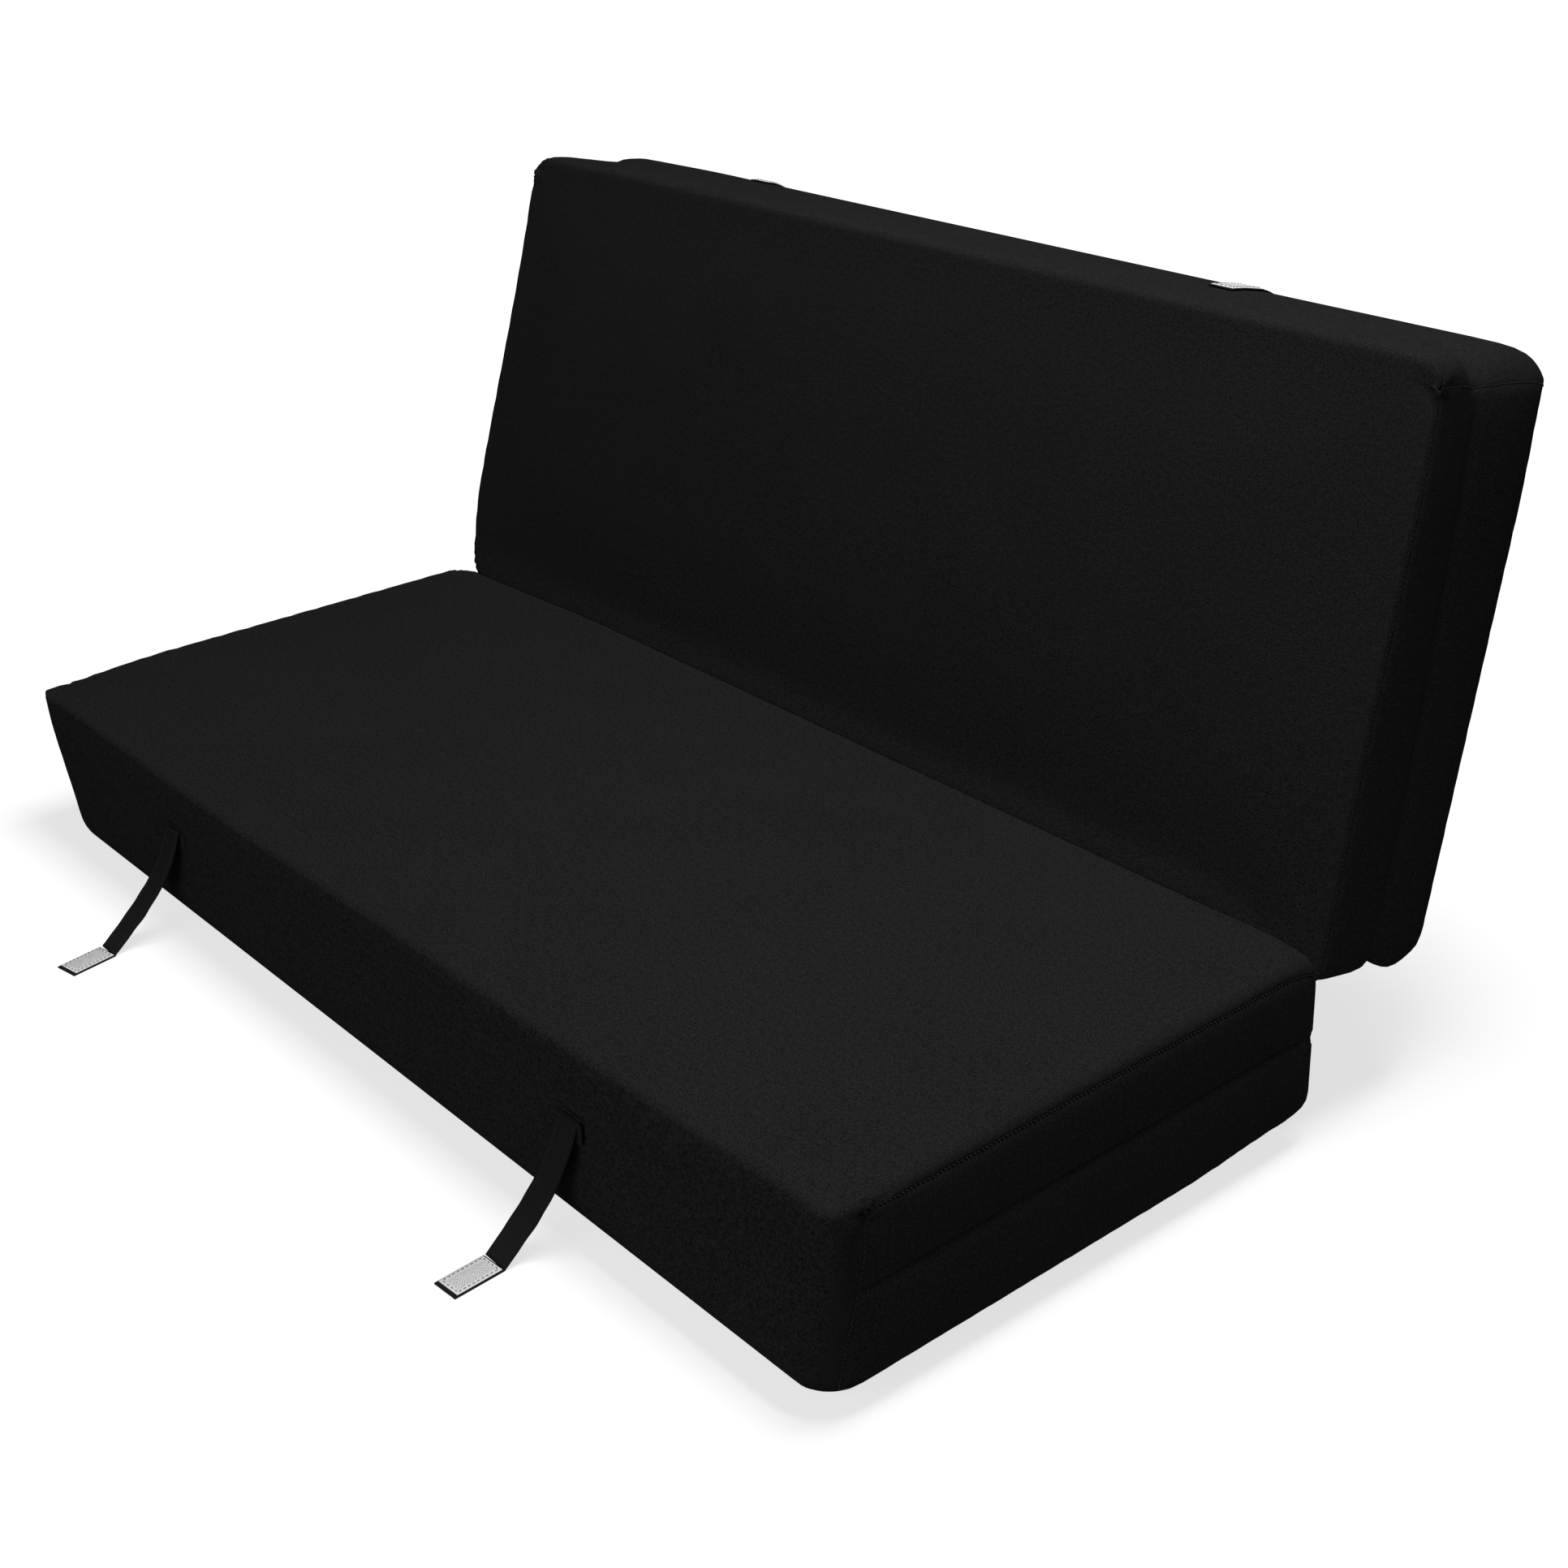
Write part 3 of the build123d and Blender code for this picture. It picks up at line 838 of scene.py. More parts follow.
# ---------------------------------------------------------------- fold
def fold_web():
    """Builds the cloth web that hinges the two cushions."""
    s = bpy.context.scene.futon_cover
    seat_low, seat_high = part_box("seat_fold_strip")
    back = node_points("back_fold_strip")
    hinge = np.array(JOINTS["fold"]["pos_m"])
    drop = seat_high.z - seat_low.z
    thickness = (seat_high.y - seat_low.y) * 0.8
    seat_y = (seat_high.y + seat_low.y) / 2
    down = [0.0, 0.25, 0.5, 0.75, 0.9]
    seat_rows = [(seat_y, seat_high.z - drop * (1 - share) - 0.001) for share in down]
    local = back @ np.stack([BACK.out, BACK.up], 1)
    back_u = (local[:, 0].min() + local[:, 0].max()) / 2
    back_top = local[:, 1].max()
    back_rows = []
    for share in down[::-1]:
        point = back_u * BACK.out + (back_top - drop * (1 - share) - 0.001) * BACK.up
        back_rows.append((point[1], point[2]))
    line = np.array(seat_rows + [(hinge[1], hinge[2] - 0.0006)] + back_rows)
    tangent = unit(np.gradient(line, axis=0))
    normal = np.stack([-tangent[:, 1], tangent[:, 0]], 1)
    travel = travelled(line)
    section = np.concatenate([line + normal * thickness / 2, (line - normal * thickness / 2)[::-1]])
    along = np.concatenate([travel, travel[::-1]])
    half = SEAT.half - s.web_end
    xs = filled([-half, half], 0.02)
    rings = np.array([[(x, y, z) for y, z in section] for x in xs])
    cloth = np.array([[(x, t, 0) for t in along] for x in xs])
    piece = swept("fold_web", rings, cover_cloth(), cloth)
    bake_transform(piece)
    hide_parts("seat_fold_strip", "back_fold_strip")
    dress(piece)


# ---------------------------------------------------------------- straps
# Half of a strap's section, from its middle: share of its half width, and height of its face there.
HALF_SECTION = (
    (0.35, 0.8), (0.715, 0.75), (0.74, 0.55), (0.765, 0.95), (0.8, 1.0), (0.985, 0.8), (1.0, 0.25),
)
STRAP_SECTION = (*((-a, h) for a, h in HALF_SECTION[::-1]), (0.0, 0.82), *HALF_SECTION)


class Lay:
    """The frame of a strip that follows a line: across it, along it and out of it."""

    def __init__(self, centres, across, outward):
        self.centres = np.asarray(centres, float)
        self.across = np.asarray(across, float)
        self.outward = np.asarray(outward, float)
        self.travel = travelled(self.centres)

    def rows(self):
        """The three tables that make up the frame."""
        return self.centres, self.across, self.outward

    def at(self, travel, across=0.0, outward=0.0):
        """The point so far along the line, and so far across and out."""
        spot, side, normal = (sampled(travel, self.travel, rows) for rows in self.rows())
        return spot + side * across + normal * outward

    def normal(self, travel):
        """What faces out, so far along the line."""
        return sampled(travel, self.travel, self.outward)

    def part(self, start, end, step=0.0028):
        """The same frame from one place along the line to another."""
        stops = np.linspace(start, end, max(2, math.ceil((end - start) / step) + 1))
        return Lay(*(sampled(stops, self.travel, rows) for rows in self.rows()))

    def raised(self, height):
        """The same frame, further out."""
        return Lay(self.centres + self.outward * height, self.across, self.outward)


def lay_along(centres, outward_hint):
    """The frame of a strip along these points, facing the way of the hint."""
    along = unit(np.gradient(centres, axis=0))
    across = np.tile((1.0, 0.0, 0.0), (len(centres), 1))
    across = unit(across - along * (along * across).sum(1)[:, None])
    outward = np.cross(across, along)
    if (outward * outward_hint).sum() < 0:
        outward = -outward
    return Lay(centres, across, outward)


def ribbon(name, lay, width, thickness, material):
    """A double layer of cloth with hems, swept along its frame."""
    rings = []
    cloth = []
    for n, travel in enumerate(lay.travel):
        side = lay.across[n] * width / 2
        rise = lay.outward[n] * thickness / 2
        upper = [lay.centres[n] + side * a + rise * h for a, h in STRAP_SECTION]
        lower = [lay.centres[n] + side * a - rise * h for a, h in STRAP_SECTION]
        rings.append(upper + lower[::-1])
        flat = [(a * width / 2, travel, 0) for a, _ in STRAP_SECTION]
        cloth.append(flat + flat[::-1])
    return swept(name, rings, material, cloth)


# Root's slip along X, the end's slip along X and towards the back, and its turn in degrees.
FRONT_ENDS = {"left": (-0.008, 0.008, 0.012, 10.5), "right": (-0.006, 0.0112, -0.002, 4.0)}
# How far over the edge a rear strap's bend lies past its hinge, and how far it drifts along X.
BACK_SLIPS = {"left": (-0.030, -0.022), "right": (0.010, -0.004)}


def arc_route(start, end, bend, drop, landing, step=0.003):
    """A strap's line from a level start: a bend, a straight drop and a wide arc to its landing.

    Start and end are (out, height); the result is rows of out and height.
    """
    out = end[0] - start[0] - bend * math.sin(drop)
    down = start[1] - end[1] - bend * (1 - math.cos(drop))
    bend_out = math.sin(drop) - math.sin(landing)
    bend_down = math.cos(landing) - math.cos(drop)
    scale = math.cos(drop) * bend_down - math.sin(drop) * bend_out
    run = (out * bend_down - down * bend_out) / scale
    radius = (down * math.cos(drop) - out * math.sin(drop)) / scale
    first = bend * drop
    total = first + run + radius * (drop - landing)
    rows = []
    for travel in np.linspace(0, total, math.ceil(total / step) + 1):
        if travel <= first:
            turn = travel / bend
            rows.append((start[0] + bend * math.sin(turn), start[1] - bend * (1 - math.cos(turn))))
            continue
        corner = (start[0] + bend * math.sin(drop), start[1] - bend * (1 - math.cos(drop)))
        rest = min(travel - first, run)
        point = [corner[0] + rest * math.cos(drop), corner[1] - rest * math.sin(drop)]
        if travel > first + run:
            angle = drop - (travel - first - run) / radius
            point[0] += radius * (math.sin(drop) - math.sin(angle))
            point[1] -= radius * (math.cos(angle) - math.cos(drop))
        rows.append(tuple(point))
    return np.array(rows)


def strap_sizes(name, along, outward):
    """Width, thickness and length of a strap's end, and the strap's X at its root."""
    _, (width, length, thickness) = box_along(f"{name}_end", (1, 0, 0), along, outward)
    low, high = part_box(f"{name}_anchor")
    return 2 * width, 2 * thickness, 2 * length, (low.x + high.x) / 2


def creased(lay, depth, fade):
    """A strip's frame with soft, uneven creases."""
    centres = lay.centres + lay.outward * (depth * fade * ripple(lay.travel, 0.029, 0.047, 0.071))[:, None]
    tilt = (0.05 * fade * ripple(lay.travel, 0.061, 0.097))[:, None]
    across = lay.across * np.cos(tilt) + lay.outward * np.sin(tilt)
    outward = lay.outward * np.cos(tilt) - lay.across * np.sin(tilt)
    return Lay(centres, across, outward)


def strap_stitches(name, lay, width, thickness, hem):
    """Two runs of stitches along a ribbon, beside its hems, on its outer side."""
    runs = []
    for side in (-1, 1):
        line = lay.centres + lay.across * side * (width / 2 - hem) + lay.outward * thickness * 0.2
        runs.append((line, lay.outward))
    return stitch_piece(f"{name}_stitches", runs, thread_twist())


def front_strap(side):
    """Builds one strap of the seat: anchor, webbing, end and hook tape."""
    s = bpy.context.scene.futon_strap
    name = f"seat_strap_{side}"
    forward = (0, -1, 0)
    upward = (0, 0, 1)
    width, thickness, length, x = strap_sizes(name, forward, upward)
    root = JOINTS[f"{name}_swing"]["pos_m"]
    tip = JOINTS[f"{name}_tip_bend"]["pos_m"]
    slip, sideways, out, turn = FRONT_ENDS[side]
    x += slip
    end_x = tip[0] + sideways
    end_y = tip[1] - out
    skin = skin_line(SEAT, x)[len(SKINS["seat"][0].axes[1]) :]
    face = SEAT.world((x, np.interp(root[2], skin[:, 2], skin[:, 1]), root[2]))[1]
    route = arc_route(
        (-0.001, root[2]), (face - end_y - 0.0008, thickness / 2), s.bend,
        math.radians(s.drop), math.radians(s.landing),
    )
    share = np.linspace(0, 1, len(route))
    drift = (end_x - x) * eased(share, 0, 1)
    hang = lay_along(np.stack([x + drift, face - route[:, 0], route[:, 1]], 1), forward)
    fade = np.minimum(eased(share, 0.35, 0.65), 1 - eased(share, 0.85, 1.0))
    hang = creased(hang, s.crease, fade)
    webbing = ribbon(f"{name}_ribbon", hang, width, thickness, strap_cloth())
    stitches = strap_stitches(name, hang, width, thickness, s.hem)
    for piece in (webbing, stitches):
        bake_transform(piece)
    dress(webbing, node=f"{name}_webbing")
    angle = math.radians(turn)
    travel = np.linspace(0, length, 19)
    heading = np.array((math.sin(angle), -math.cos(angle), 0.0))
    line = np.array((end_x, end_y, thickness / 2)) + travel[:, None] * heading
    for piece in strap_end(name, lay_along(line, upward), width, thickness):
        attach(piece, f"{name}_tip")
    anchor_patch(name, SEAT, forward, upward)
    slit_lip(name, (x, face, root[2] + thickness / 2 + 0.0017), width)


def slit_lip(name, place, width):
    """Builds the turned edge of the cover over the slit that a front strap comes out of."""
    rings = []
    cloth = []
    stands = 0.0018
    rises = 0.0017
    overlap = 0.0025
    droop = 0.0016
    angles = np.linspace(0, 2 * math.pi, 12, endpoint=False)
    for t in np.linspace(-1, 1, 25):
        fade = math.sqrt(max(0.0, 1 - t**6)) + 0.08
        along = place[0] + t * (width / 2 + overlap)
        level = place[2] - droop * t * t
        ring = []
        for a in angles:
            ring.append((along, place[1] - stands * fade * math.cos(a), level + rises * fade * math.sin(a)))
        rings.append(ring)
        cloth.append([(along, a * rises, 0.0) for a in angles])
    lip = swept(f"{name}_slit_lip", rings, cover_cloth(), cloth)
    dress(lip, "seat")


def skin_line(cushion, x):
    """A line on the cushion's skin at this X, up its rear face and over the outer face, in its own frame."""
    block, points = SKINS[cushion.name]
    xs, us, zs = block.axes
    right = int(np.searchsorted(xs, x))
    share = (x - xs[right - 1]) / (xs[right] - xs[right - 1])
    cells = [(j, 0) for j in range(len(us))] + [(len(us) - 1, k) for k in range(1, len(zs))]
    low = points[[block.index[right - 1, j, k] for j, k in cells]]
    high = points[[block.index[right, j, k] for j, k in cells]]
    return low + share * (high - low)


def back_strap(side):
    """Builds one strap of the back, up its rear face and over the top edge."""
    s = bpy.context.scene.futon_strap
    name = f"back_strap_{side}"
    width, thickness, length, x = strap_sizes(name, BACK.up, BACK.out)
    root = BACK.local(JOINTS[f"{name}_swing"]["pos_m"])
    tip = BACK.local(JOINTS[f"{name}_tip_bend"]["pos_m"])
    slip, drift = BACK_SLIPS[side]
    skin = skin_line(BACK, x)
    skin = skin[(skin[:, 1] > root[1]) & (skin[:, 2] < tip[2] + 2 * length)]
    skin = np.concatenate([[(x, root[1], skin[0, 2])], skin])
    travel = travelled(skin)
    hinge = float(np.interp(tip[2], skin[:, 2], travel))
    stops = np.arange(0, hinge + slip + length + 0.003, 0.003)
    line = sampled(stops, travel, skin)
    line[:, 0] = x + drift * eased(stops, 0.02, hinge)
    path = lay_along(BACK.world(line), BACK.out).raised(thickness / 2 + 0.0006)
    share = path.travel / path.travel[-1]
    path = creased(path, s.crease * 0.3, np.minimum(eased(share, 0, 0.2), 1 - eased(share, 0.5, 0.7)))
    joint = path.travel[-1] - length
    webbing = ribbon(f"{name}_ribbon", path.part(0, joint), width, thickness, strap_cloth())
    stitches = strap_stitches(name, path.part(0, joint), width, thickness, s.hem)
    dress(webbing, node=f"{name}_webbing")
    pieces = strap_end(name, path.part(joint, joint + length), width, thickness)
    bend = path.travel[-1] - length - slip
    for piece in (webbing, stitches, *pieces):
        path.at(bend - 0.008)
        path.at(bend + 0.004)
        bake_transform(piece)
    anchor_patch(name, BACK, -BACK.up, BACK.out)


def box_along(name, *directions):
    """Centre of a node, and its reach along each direction, by its corners."""
    points = node_points(name)
    centre = np.zeros(3)
    reaches = []
    for direction in directions:
        values = points @ np.array(direction)
        centre += np.array(direction) * (values.min() + values.max()) / 2
        reaches.append((values.max() - values.min()) / 2)
    return centre, reaches


def plate(name, lay, half_width, thickness, material):
    """A flat strip with softened edges, lying on its frame."""
    soft = thickness * 0.35
    length = lay.travel[-1]
    offsets = (-1.0, -1.0, -1.0 + soft / half_width, 1.0 - soft / half_width, 1.0, 1.0)
    rings = []
    for share in PLATE_ROWS:
        travel = share * length
        end = min(1.0, min(travel, length - travel) / soft)
        top = thickness * (0.55 + 0.45 * math.sqrt(max(0.0, 1 - (1 - end) ** 2)))
        heights = (0.0, top * 0.6, top, top, top * 0.6, 0.0)
        rings.append([lay.at(travel, a * half_width, h) for a, h in zip(offsets, heights)])
    return swept(name, rings, material)


PLATE_ROWS = (0.0, 0.007, 0.02, 0.05, 0.12, 0.2, 0.3, 0.4, 0.5, 0.6, 0.7, 0.8, 0.88, 0.95, 0.98, 0.993, 1.0)


def strap_end(name, lay, width, thickness):
    """Builds the last length of a strap and the hook tape on it, and returns the pieces."""
    end = ribbon(f"{name}_end_cloth", lay, width, thickness, strap_cloth())
    dress(end, node=f"{name}_end")
    border = 0.0015
    margin = 0.0036
    tall = 0.0007
    length = lay.travel[-1]
    half_width = width / 2 - border
    base = lay.part(border, length - margin).raised(thickness / 2)
    backing = plate(f"{name}_hook_tape_backing", base, half_width, tall, hook_nylon())
    dress(backing, node=f"{name}_hook_tape")
    top = base.raised(tall)
    hooks = new_piece(f"{name}_hook_field", *hook_field(top, half_width, tall), hook_nylon())
    dress(hooks)
    hem = 0.0024
    proud = 0.0002
    inner = half_width - hem
    ends = (hem, top.travel[-1] - hem)
    runs = []
    stops = np.linspace(*ends, 24)
    for side in (-1, 1):
        runs.append(([top.at(d, side * inner, proud) for d in stops], [top.normal(d) for d in stops]))
    for stop in ends:
        line = [top.at(stop, a * inner, proud) for a in np.linspace(-1, 1, 12)]
        runs.append((line, [top.normal(stop)] * 12))
    thread = stitch_piece(f"{name}_hook_stitches", runs, thread_grey())
    return end, backing, hooks, thread


def hook_field(lay, half_width, tall):
    """Rows of small bent hooks over the middle of the tape."""
    pitch = 0.0016
    border = 0.0042
    points = []
    faces = []
    rows = int((lay.travel[-1] - 2 * border) / pitch)
    columns = int((half_width - border) / pitch)
    for j in range(rows + 1):
        travel = border + j * pitch
        for i in range(-columns, columns + 1):
            lean = 1 if (i + j) % 2 else -1
            across = (i + 0.25 * (j % 2)) * pitch
            start = len(points)
            for a, l in SQUARE:
                points.append(lay.at(travel + l * 0.00035, across + a * 0.0003))
            for a, l in SQUARE:
                points.append(lay.at(travel + lean * 0.0003 + l * 0.0004, across + a * 0.0002, tall))
            faces += tube_faces(start, 4, 2)
    return points, faces


def anchor_patch(name, cushion, outward, upward):
    """Builds the sewn-in root of a strap."""
    centre, reaches = box_along(f"{name}_anchor", (1, 0, 0), upward, outward)
    base = centre - np.array(outward) * reaches[2]
    line = [base + np.array(upward) * reaches[1] * t for t in np.linspace(-1, 1, 9)]
    lay = lay_along(np.array(line), outward)
    tab = plate(f"{name}_anchor_tab", lay, 0.8 * reaches[0], 1.8 * reaches[2], strap_cloth())
    dress(tab, cushion.name, f"{name}_anchor")


def front_straps():
    """Builds both straps of the seat."""
    for side in SIDES:
        front_strap(side)


def back_straps():
    """Builds both straps of the back."""
    for side in SIDES:
        back_strap(side)


# ---------------------------------------------------------------- zips
TAPE_HALF = ((0.58, 0.8), (0.6, 1), (0.97, 1), (1, 0.8), (1, 0))
TAPE_SECTION = (*((-a, h) for a, h in TAPE_HALF[::-1]), *TAPE_HALF)


def zip_chain(cushion):
    """Builds the tape and teeth of one zip on the fold face."""
    s = bpy.context.scene.futon_zip
    name = f"{cushion.name}_zip_chain"
    out = -cushion.out
    up = cushion.up
    side = np.array((1.0, 0.0, 0.0))
    centre, reaches = box_along(name, side, up, out)
    base = centre - out * reaches[2]
    tape_height = 2 * reaches[2] * 0.3
    tooth_height = 2 * reaches[2] - tape_height
    rings = []
    for t in filled([-1.0, 1.0], 0.02):
        middle = base + side * t * reaches[0]
        rings.append([middle + up * a * reaches[1] + out * h * tape_height for a, h in TAPE_SECTION])
    tape = swept(f"{name}_tape", rings, cloth_finish("zip_tape", s.tape, s.tape, 0.0008))
    points = []
    faces = []
    count = int(2 * reaches[0] / s.pitch)
    for n in range(count):
        lean = 1 if n % 2 else -1
        foot = base + side * (-reaches[0] + (n + 0.5) * s.pitch) + out * tape_height * 0.8
        start = len(points)
        for level, grow in ((0.0, 1.0), (0.7, 1.0), (1.0, 0.7)):
            for i, j in SQUARE:
                wide = s.pitch * 0.46 * grow
                near = 0.0006 if j == -lean else 0.0021 * grow
                points.append(foot + side * i * wide + up * j * near + out * level * tooth_height)
        faces += tube_faces(start, 4, 3)
    teeth = new_piece(f"{name}_teeth", points, faces, moulded("zip_teeth", s.teeth, 0.35))
    dress(tape, cushion.name, name)
    dress(teeth, cushion.name)


def zips():
    """Builds both zips and finishes their sliders and pullers."""
    s = bpy.context.scene.futon_zip
    metal = zip_metal(s.metal)
    for cushion in CUSHIONS:
        zip_chain(cushion)
        for part in ("zip_slider", "zip_puller"):
            node = frame["nodes"][f"{cushion.name}_{part}"]
            for socket in node.material_slots:
                socket.material = metal


# ---------------------------------------------------------------- materials
class Finish:
    """A material or a backdrop, built node by node round its surface."""

    def __init__(self, name, kind="materials", surface="Principled BSDF"):
        self.material = getattr(bpy.data, kind).new(name)
        self.material.use_nodes = True
        self.tree = self.material.node_tree
        self.surface = self.tree.nodes[surface]

    def add(self, kind, sockets=None, **settings):
        """Adds a node; a socket's value may be another node's output."""
        node = self.tree.nodes.new(kind)
        for key, value in settings.items():
            setattr(node, key, value)
        for key, value in (sockets or {}).items():
            self.set(node, key, value)
        return node

    def set(self, node, key, value):
        """Links or sets one input of a node."""
        if isinstance(value, bpy.types.NodeSocket):
            self.tree.links.new(value, node.inputs[key])
        else:
            node.inputs[key].default_value = value

    def math(self, operation, first, second):
        """The result of one sum."""
        node = self.add("ShaderNodeMath", operation=operation)
        self.set(node, 0, first)
        self.set(node, 1, second)
        return node.outputs[0]

    def ramp(self, factor, *stops):
        """A colour ramp through (place, colour) stops."""
        node = self.add("ShaderNodeValToRGB", {"Fac": factor})
        elements = node.color_ramp.elements
        while len(elements) < len(stops):
            elements.new(0.5)
        for element, (place, colour) in zip(elements, stops):
            element.position = place
            element.color = (*colour, 1)
        return node.outputs["Color"]

    def bump(self, height, strength, distance, below=None):
        """A bump, over another one if it is given."""
        sockets = {"Height": height, "Strength": strength, "Distance": distance}
        if below is not None:
            sockets["Normal"] = below
        return self.add("ShaderNodeBump", sockets).outputs["Normal"]


def known(name):
    """A material that is already made, or None."""
    return bpy.data.materials.get(name)


def cloth_finish(name, dark, light, pitch, sheen=0.003):
    """Tightly woven cloth: a plain weave, uneven threads, painted shade in the weave's hollows and a dull
    sheen.
    """
    if known(name):
        return known(name)
    f = Finish(name)
    place = f.add("ShaderNodeAttribute", attribute_name="cloth").outputs["Vector"]
    turns = 2 * math.pi / pitch
    scaled = f.add("ShaderNodeVectorMath", {0: place, 1: (turns,) * 3}, operation="MULTIPLY").outputs[0]
    waves = f.add("ShaderNodeVectorMath", {0: scaled}, operation="SINE").outputs[0]
    x, y, z = f.add("ShaderNodeSeparateXYZ", {0: waves}).outputs
    weave = f.math("ADD", f.math("MULTIPLY", x, y), f.math("MULTIPLY", y, z))
    weave = f.math("ADD", weave, f.math("MULTIPLY", z, x))
    speckle, cloud, heather = (
        f.add("ShaderNodeTexNoise", {"Vector": place, "Scale": scale, "Detail": detail, "Roughness": rough})
        for scale, detail, rough in ((560.0, 2.0, 0.7), (9.0, 4.0, 0.55), (190.0, 2.0, 0.8))
    )
    # The weave's share of the colour is painted shade and highlight: darker in the hollows and lighter on
    # the threads' tops, where the bump rises. The noises give the threads' own uneven tone.
    mixed = f.math("MULTIPLY", weave, 0.06)
    for noise, weight in ((speckle, 0.9), (heather, 0.3), (cloud, 0.06)):
        mixed = f.math("ADD", mixed, f.math("MULTIPLY", noise.outputs["Fac"], weight))
    colour = f.ramp(f.math("MULTIPLY", mixed, 0.75), (0.32, tuple(dark)), (0.63, tuple(light)))
    f.set(f.surface, "Base Color", colour)
    f.set(f.surface, "Roughness", f.math("ADD", f.math("MULTIPLY", cloud.outputs["Fac"], 0.14), 0.78))
    f.set(f.surface, "Specular IOR Level", 0.0)
    f.set(f.surface, "Sheen Weight", sheen)
    f.set(f.surface, "Sheen Roughness", 0.45)
    f.set(f.surface, "Sheen Tint", (0.55, 0.55, 0.57, 1))
    fine = f.bump(weave, 0.35, pitch * 0.25)
    slub = f.bump(speckle.outputs["Fac"], 0.25, pitch * 0.5, fine)
    f.set(f.surface, "Normal", slub)
    return f.material


def cover_cloth():
    """The black cover cloth."""
    s = bpy.context.scene.futon_cover
    return cloth_finish("cover_weave", s.dark, s.light, s.weave)


def strap_cloth():
    """The strap's cloth, a little denser than the cover's."""
    s = bpy.context.scene.futon_strap
    # The lighter end of the strap's ramp: the threads' own tone, plus the painted highlight on the tops of
    # the weave's threads.
    light = tuple(value * 1.5 for value in s.cloth)
    return cloth_finish("strap_weave", s.cloth, light, 0.0008)


def grained(name, colour, spread, scale, roughness, bump, specular=0.3):
    """A material with a noise-driven colour and a matching bump."""
    f = Finish(name)
    place = f.add("ShaderNodeTexCoord").outputs["Object"]
    grain = f.add("ShaderNodeTexNoise", {"Vector": place, "Scale": scale, "Detail": 4.0})
    dark = tuple(value * (1 - spread) for value in colour)
    light = tuple(min(1.0, value * (1 + spread)) for value in colour)
    f.set(f.surface, "Base Color", f.ramp(grain.outputs["Fac"], (0.3, dark), (0.7, light)))
    rough = f.math("ADD", f.math("MULTIPLY", grain.outputs["Fac"], 0.12), roughness - 0.06)
    f.set(f.surface, "Roughness", rough)
    f.set(f.surface, "Specular IOR Level", specular)
    f.set(f.surface, "Normal", f.bump(grain.outputs["Fac"], 0.5, bump))
    return f


def hook_nylon():
    """Pale nylon of the hook tape."""
    colour = bpy.context.scene.futon_strap.hooks
    return known("hook_nylon") or grained("hook_nylon", colour, 0.10, 900.0, 0.55, 0.0002).material


def thread_twist():
    """Black sewing thread."""
    name = "thread_twist"
    colour = bpy.context.scene.futon_stitch.thread
    return known(name) or grained(name, colour, 0.3, 1500.0, 0.6, 0.0001, 0.08).material


def thread_grey():
    """Grey thread on the hook tape."""
    name = "thread_grey"
    colour = bpy.context.scene.futon_stitch.grey
    return known(name) or grained(name, colour, 0.3, 1500.0, 0.5, 0.0001).material


def moulded(name, colour, roughness):
    """Moulded plastic."""
    return known(name) or grained(name, colour, 0.12, 700.0, roughness, 0.00005, 0.5).material


def zip_metal(colour):
    """Tumbled zinc."""
    f = grained("zip_zinc", colour, 0.08, 600.0, 0.34, 0.00004, 0.5)
    f.surface.inputs["Metallic"].default_value = 1.0
    return f.material


def foam(name, colour, cell, strength):
    """Open-celled foam or fleece."""
    if known(name):
        return known(name)
    f = Finish(name)
    place = f.add("ShaderNodeTexCoord").outputs["Object"]
    cells = f.add("ShaderNodeTexVoronoi", {"Vector": place, "Scale": 1 / cell}).outputs["Distance"]
    dark = tuple(value * 0.72 for value in colour)
    f.set(f.surface, "Base Color", f.ramp(cells, (0.1, tuple(colour)), (0.9, dark)))
    f.set(f.surface, "Roughness", 0.95)
    f.set(f.surface, "Normal", f.bump(cells, strength, cell))
    return f.material


# ---------------------------------------------------------------- stage
def lamp(name, place, target, side, watts):
    """A square soft light that faces `target`."""
    data = bpy.data.lights.new(name, "AREA")
    data.size = side
    data.energy = watts
    light = bpy.data.objects.new(name, data)
    light.location = place
    light.rotation_euler = (Vector(target) - Vector(place)).to_track_quat("-Z", "Y").to_euler()
    bpy.context.scene.collection.objects.link(light)


def seen_ray(finish):
    """1 for the rays that show the pale surroundings: the camera's, reflected and transmitted ones."""
    path = finish.add("ShaderNodeLightPath").outputs
    mirrored = finish.math("MAXIMUM", path["Is Glossy Ray"], path["Is Transmission Ray"])
    return finish.math("MAXIMUM", path["Is Camera Ray"], mirrored)


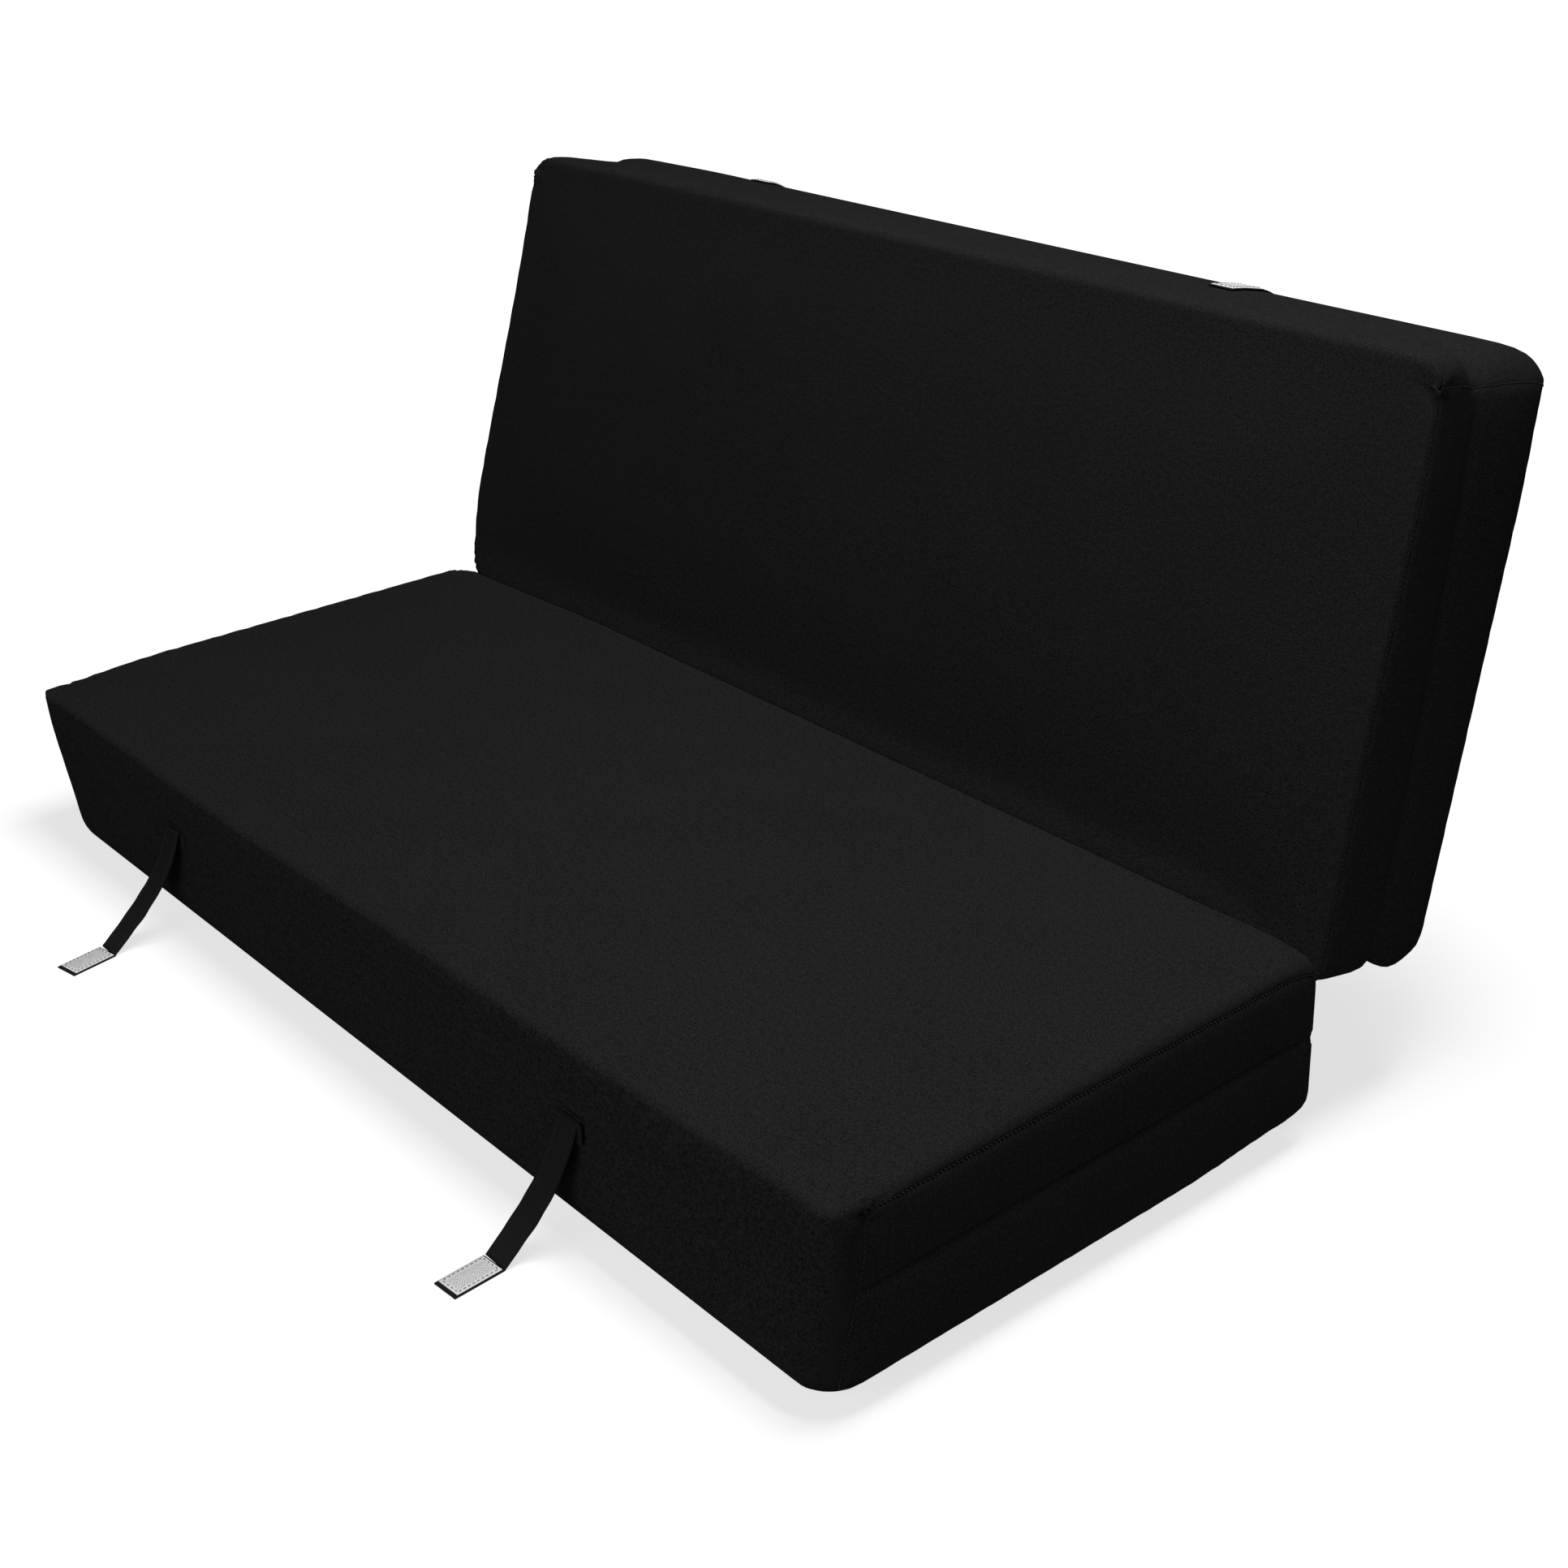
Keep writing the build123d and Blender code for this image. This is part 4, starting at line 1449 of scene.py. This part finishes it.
def pale_floor(colour, bounce):
    """A floor that keeps the shadow and is otherwise as white as the backdrop."""
    f = Finish("pale_floor")
    seen = seen_ray(f)
    grain = f.add("ShaderNodeTexNoise", {"Scale": 60.0, "Detail": 3.0})
    soft = tuple(value * 0.985 for value in colour)
    near = f.ramp(grain.outputs["Fac"], (0.3, soft), (0.7, tuple(colour)))
    pale = f.add("ShaderNodeMix", {0: seen, 6: (*bounce, 1), 7: near}, data_type="RGBA").outputs[2]
    f.set(f.surface, "Base Color", pale)
    f.set(f.surface, "Roughness", 1.0)
    f.set(f.surface, "Specular IOR Level", 0.0)
    place = f.add("ShaderNodeTexCoord").outputs["Object"]
    gap = f.add("ShaderNodeVectorMath", {0: place}, operation="LENGTH").outputs["Value"]
    spread = {"Value": gap, "From Min": 0.9, "From Max": 2.2, "To Min": 0.73, "To Max": 1.0}
    level = f.add("ShaderNodeMapRange", spread, interpolation_type="SMOOTHSTEP").outputs["Result"]
    glow = f.add("ShaderNodeEmission", {"Color": (1, 1, 1, 1), "Strength": level})
    both = f.add("ShaderNodeAddShader", {0: f.surface.outputs[0], 1: glow.outputs[0]})
    mixed = f.add("ShaderNodeMixShader", {0: seen, 1: f.surface.outputs[0], 2: both.outputs[0]})
    output = next(node for node in f.tree.nodes if node.type == "OUTPUT_MATERIAL")
    f.tree.links.new(mixed.outputs[0], output.inputs["Surface"])
    return f.material


OVERHEAD = (0.74, 0.22, 3.3)
IN_FRONT = (0.5, -2.6, 0.95)
CAMERA_PLACE = (1.795, -1.235, 1.264)
CAMERA_TURN = (69.0, 0.99, 49.68)


def studio():
    """Builds the floor, the lamps, the backdrop and the camera."""
    s = bpy.context.scene.futon_stage
    low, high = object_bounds()
    middle = (low + high) / 2
    reach = 30.0
    below = 0.0004
    corners = [(x * reach, y * reach, -below) for x, y in SQUARE]
    floor = new_piece("floor", corners, [[0, 1, 2, 3]], pale_floor(s.floor, s.bounce))
    floor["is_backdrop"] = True
    lamp("overhead", OVERHEAD, middle, 1.2, s.key)
    lamp("front", IN_FRONT, middle, 1.8, s.fill)
    backdrop = Finish("studio", "worlds", "Background")
    bpy.context.scene.world = backdrop.material
    spread = {"Value": seen_ray(backdrop), "To Min": s.ambient, "To Max": 1.0}
    level = backdrop.add("ShaderNodeMapRange", spread)
    backdrop.set(backdrop.surface, "Strength", level.outputs[0])
    backdrop.set(backdrop.surface, "Color", (1, 1, 1, 1))
    data = bpy.data.cameras.new("camera")
    data.sensor_width = 36.0
    data.lens = 53.6
    data.shift_y = -0.1273
    camera = bpy.data.objects.new("camera", data)
    camera.location = CAMERA_PLACE
    camera.rotation_euler = [math.radians(angle) for angle in CAMERA_TURN]
    bpy.context.scene.collection.objects.link(camera)
    bpy.context.scene.camera = camera
    bpy.context.scene.view_settings.view_transform = "Standard"


# ---------------------------------------------------------------- operators and panel
class BuildOperator:
    """What every step of the mattress shares."""

    bl_options = {"REGISTER", "UNDO"}
    build = None

    def execute(self, context):
        type(self).build()
        return {"FINISHED"}


class FUTON_OT_covers(BuildOperator, bpy.types.Operator):
    """Sew the wrap panels and boxing strips of both cushions"""

    bl_idname = "futon.covers"
    bl_label = "Covers"
    build = staticmethod(covers)


class FUTON_OT_topstitching(BuildOperator, bpy.types.Operator):
    """Run the topstitching beside the seams"""

    bl_idname = "futon.topstitching"
    bl_label = "Topstitching"
    build = staticmethod(topstitching)


class FUTON_OT_fillings(BuildOperator, bpy.types.Operator):
    """Cut the wadding and foam of both cushions"""

    bl_idname = "futon.fillings"
    bl_label = "Fillings"
    build = staticmethod(fillings)


class FUTON_OT_fold_web(BuildOperator, bpy.types.Operator):
    """Join the cushions with the cloth web at the fold"""

    bl_idname = "futon.fold_web"
    bl_label = "Fold web"
    build = staticmethod(fold_web)


class FUTON_OT_zips(BuildOperator, bpy.types.Operator):
    """Set the zips into the fold faces"""

    bl_idname = "futon.zips"
    bl_label = "Zips"
    build = staticmethod(zips)


class FUTON_OT_front_straps(BuildOperator, bpy.types.Operator):
    """Sew the tie straps of the seat"""

    bl_idname = "futon.front_straps"
    bl_label = "Seat straps"
    build = staticmethod(front_straps)


class FUTON_OT_back_straps(BuildOperator, bpy.types.Operator):
    """Sew the tie straps of the back"""

    bl_idname = "futon.back_straps"
    bl_label = "Back straps"
    build = staticmethod(back_straps)


class FUTON_OT_stage(BuildOperator, bpy.types.Operator):
    """Set up the floor, lamps and camera"""

    bl_idname = "futon.stage"
    bl_label = "Stage"
    build = staticmethod(studio)


OPERATORS = (
    FUTON_OT_covers,
    FUTON_OT_topstitching,
    FUTON_OT_fillings,
    FUTON_OT_fold_web,
    FUTON_OT_zips,
    FUTON_OT_front_straps,
    FUTON_OT_back_straps,
    FUTON_OT_stage,
)


class FUTON_PT_sidebar(bpy.types.Panel):
    """Lists the mattress's pieces and their sizes"""

    bl_idname = "FUTON_PT_sidebar"
    bl_label = "Futon Mattress"
    bl_space_type = "VIEW_3D"
    bl_region_type = "UI"
    bl_category = "Futon"

    def draw(self, context):
        for operator in OPERATORS:
            self.layout.operator(operator.bl_idname)
        for name, group in SETTINGS.items():
            box = self.layout.box()
            box.label(text=group.__doc__)
            for key in group.__annotations__:
                box.prop(getattr(context.scene, name), key)


def register():
    """Adds the settings, operators and panel to Blender."""
    for name, group in SETTINGS.items():
        bpy.utils.register_class(group)
        setattr(bpy.types.Scene, name, PointerProperty(type=group))
    for kind in (*OPERATORS, FUTON_PT_sidebar):
        bpy.utils.register_class(kind)


def unregister():
    """Takes them out again."""
    for kind in (FUTON_PT_sidebar, *reversed(OPERATORS)):
        bpy.utils.unregister_class(kind)
    for name, group in SETTINGS.items():
        delattr(bpy.types.Scene, name)
        bpy.utils.unregister_class(group)


def main():
    """Builds the mattress."""
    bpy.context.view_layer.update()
    register()
    bpy.ops.futon.covers()
    bpy.ops.futon.topstitching()
    bpy.ops.futon.fillings()
    bpy.ops.futon.fold_web()
    bpy.ops.futon.zips()
    bpy.ops.futon.front_straps()
    bpy.ops.futon.back_straps()
    bpy.ops.futon.stage()


if __name__ == "__main__":
    main()
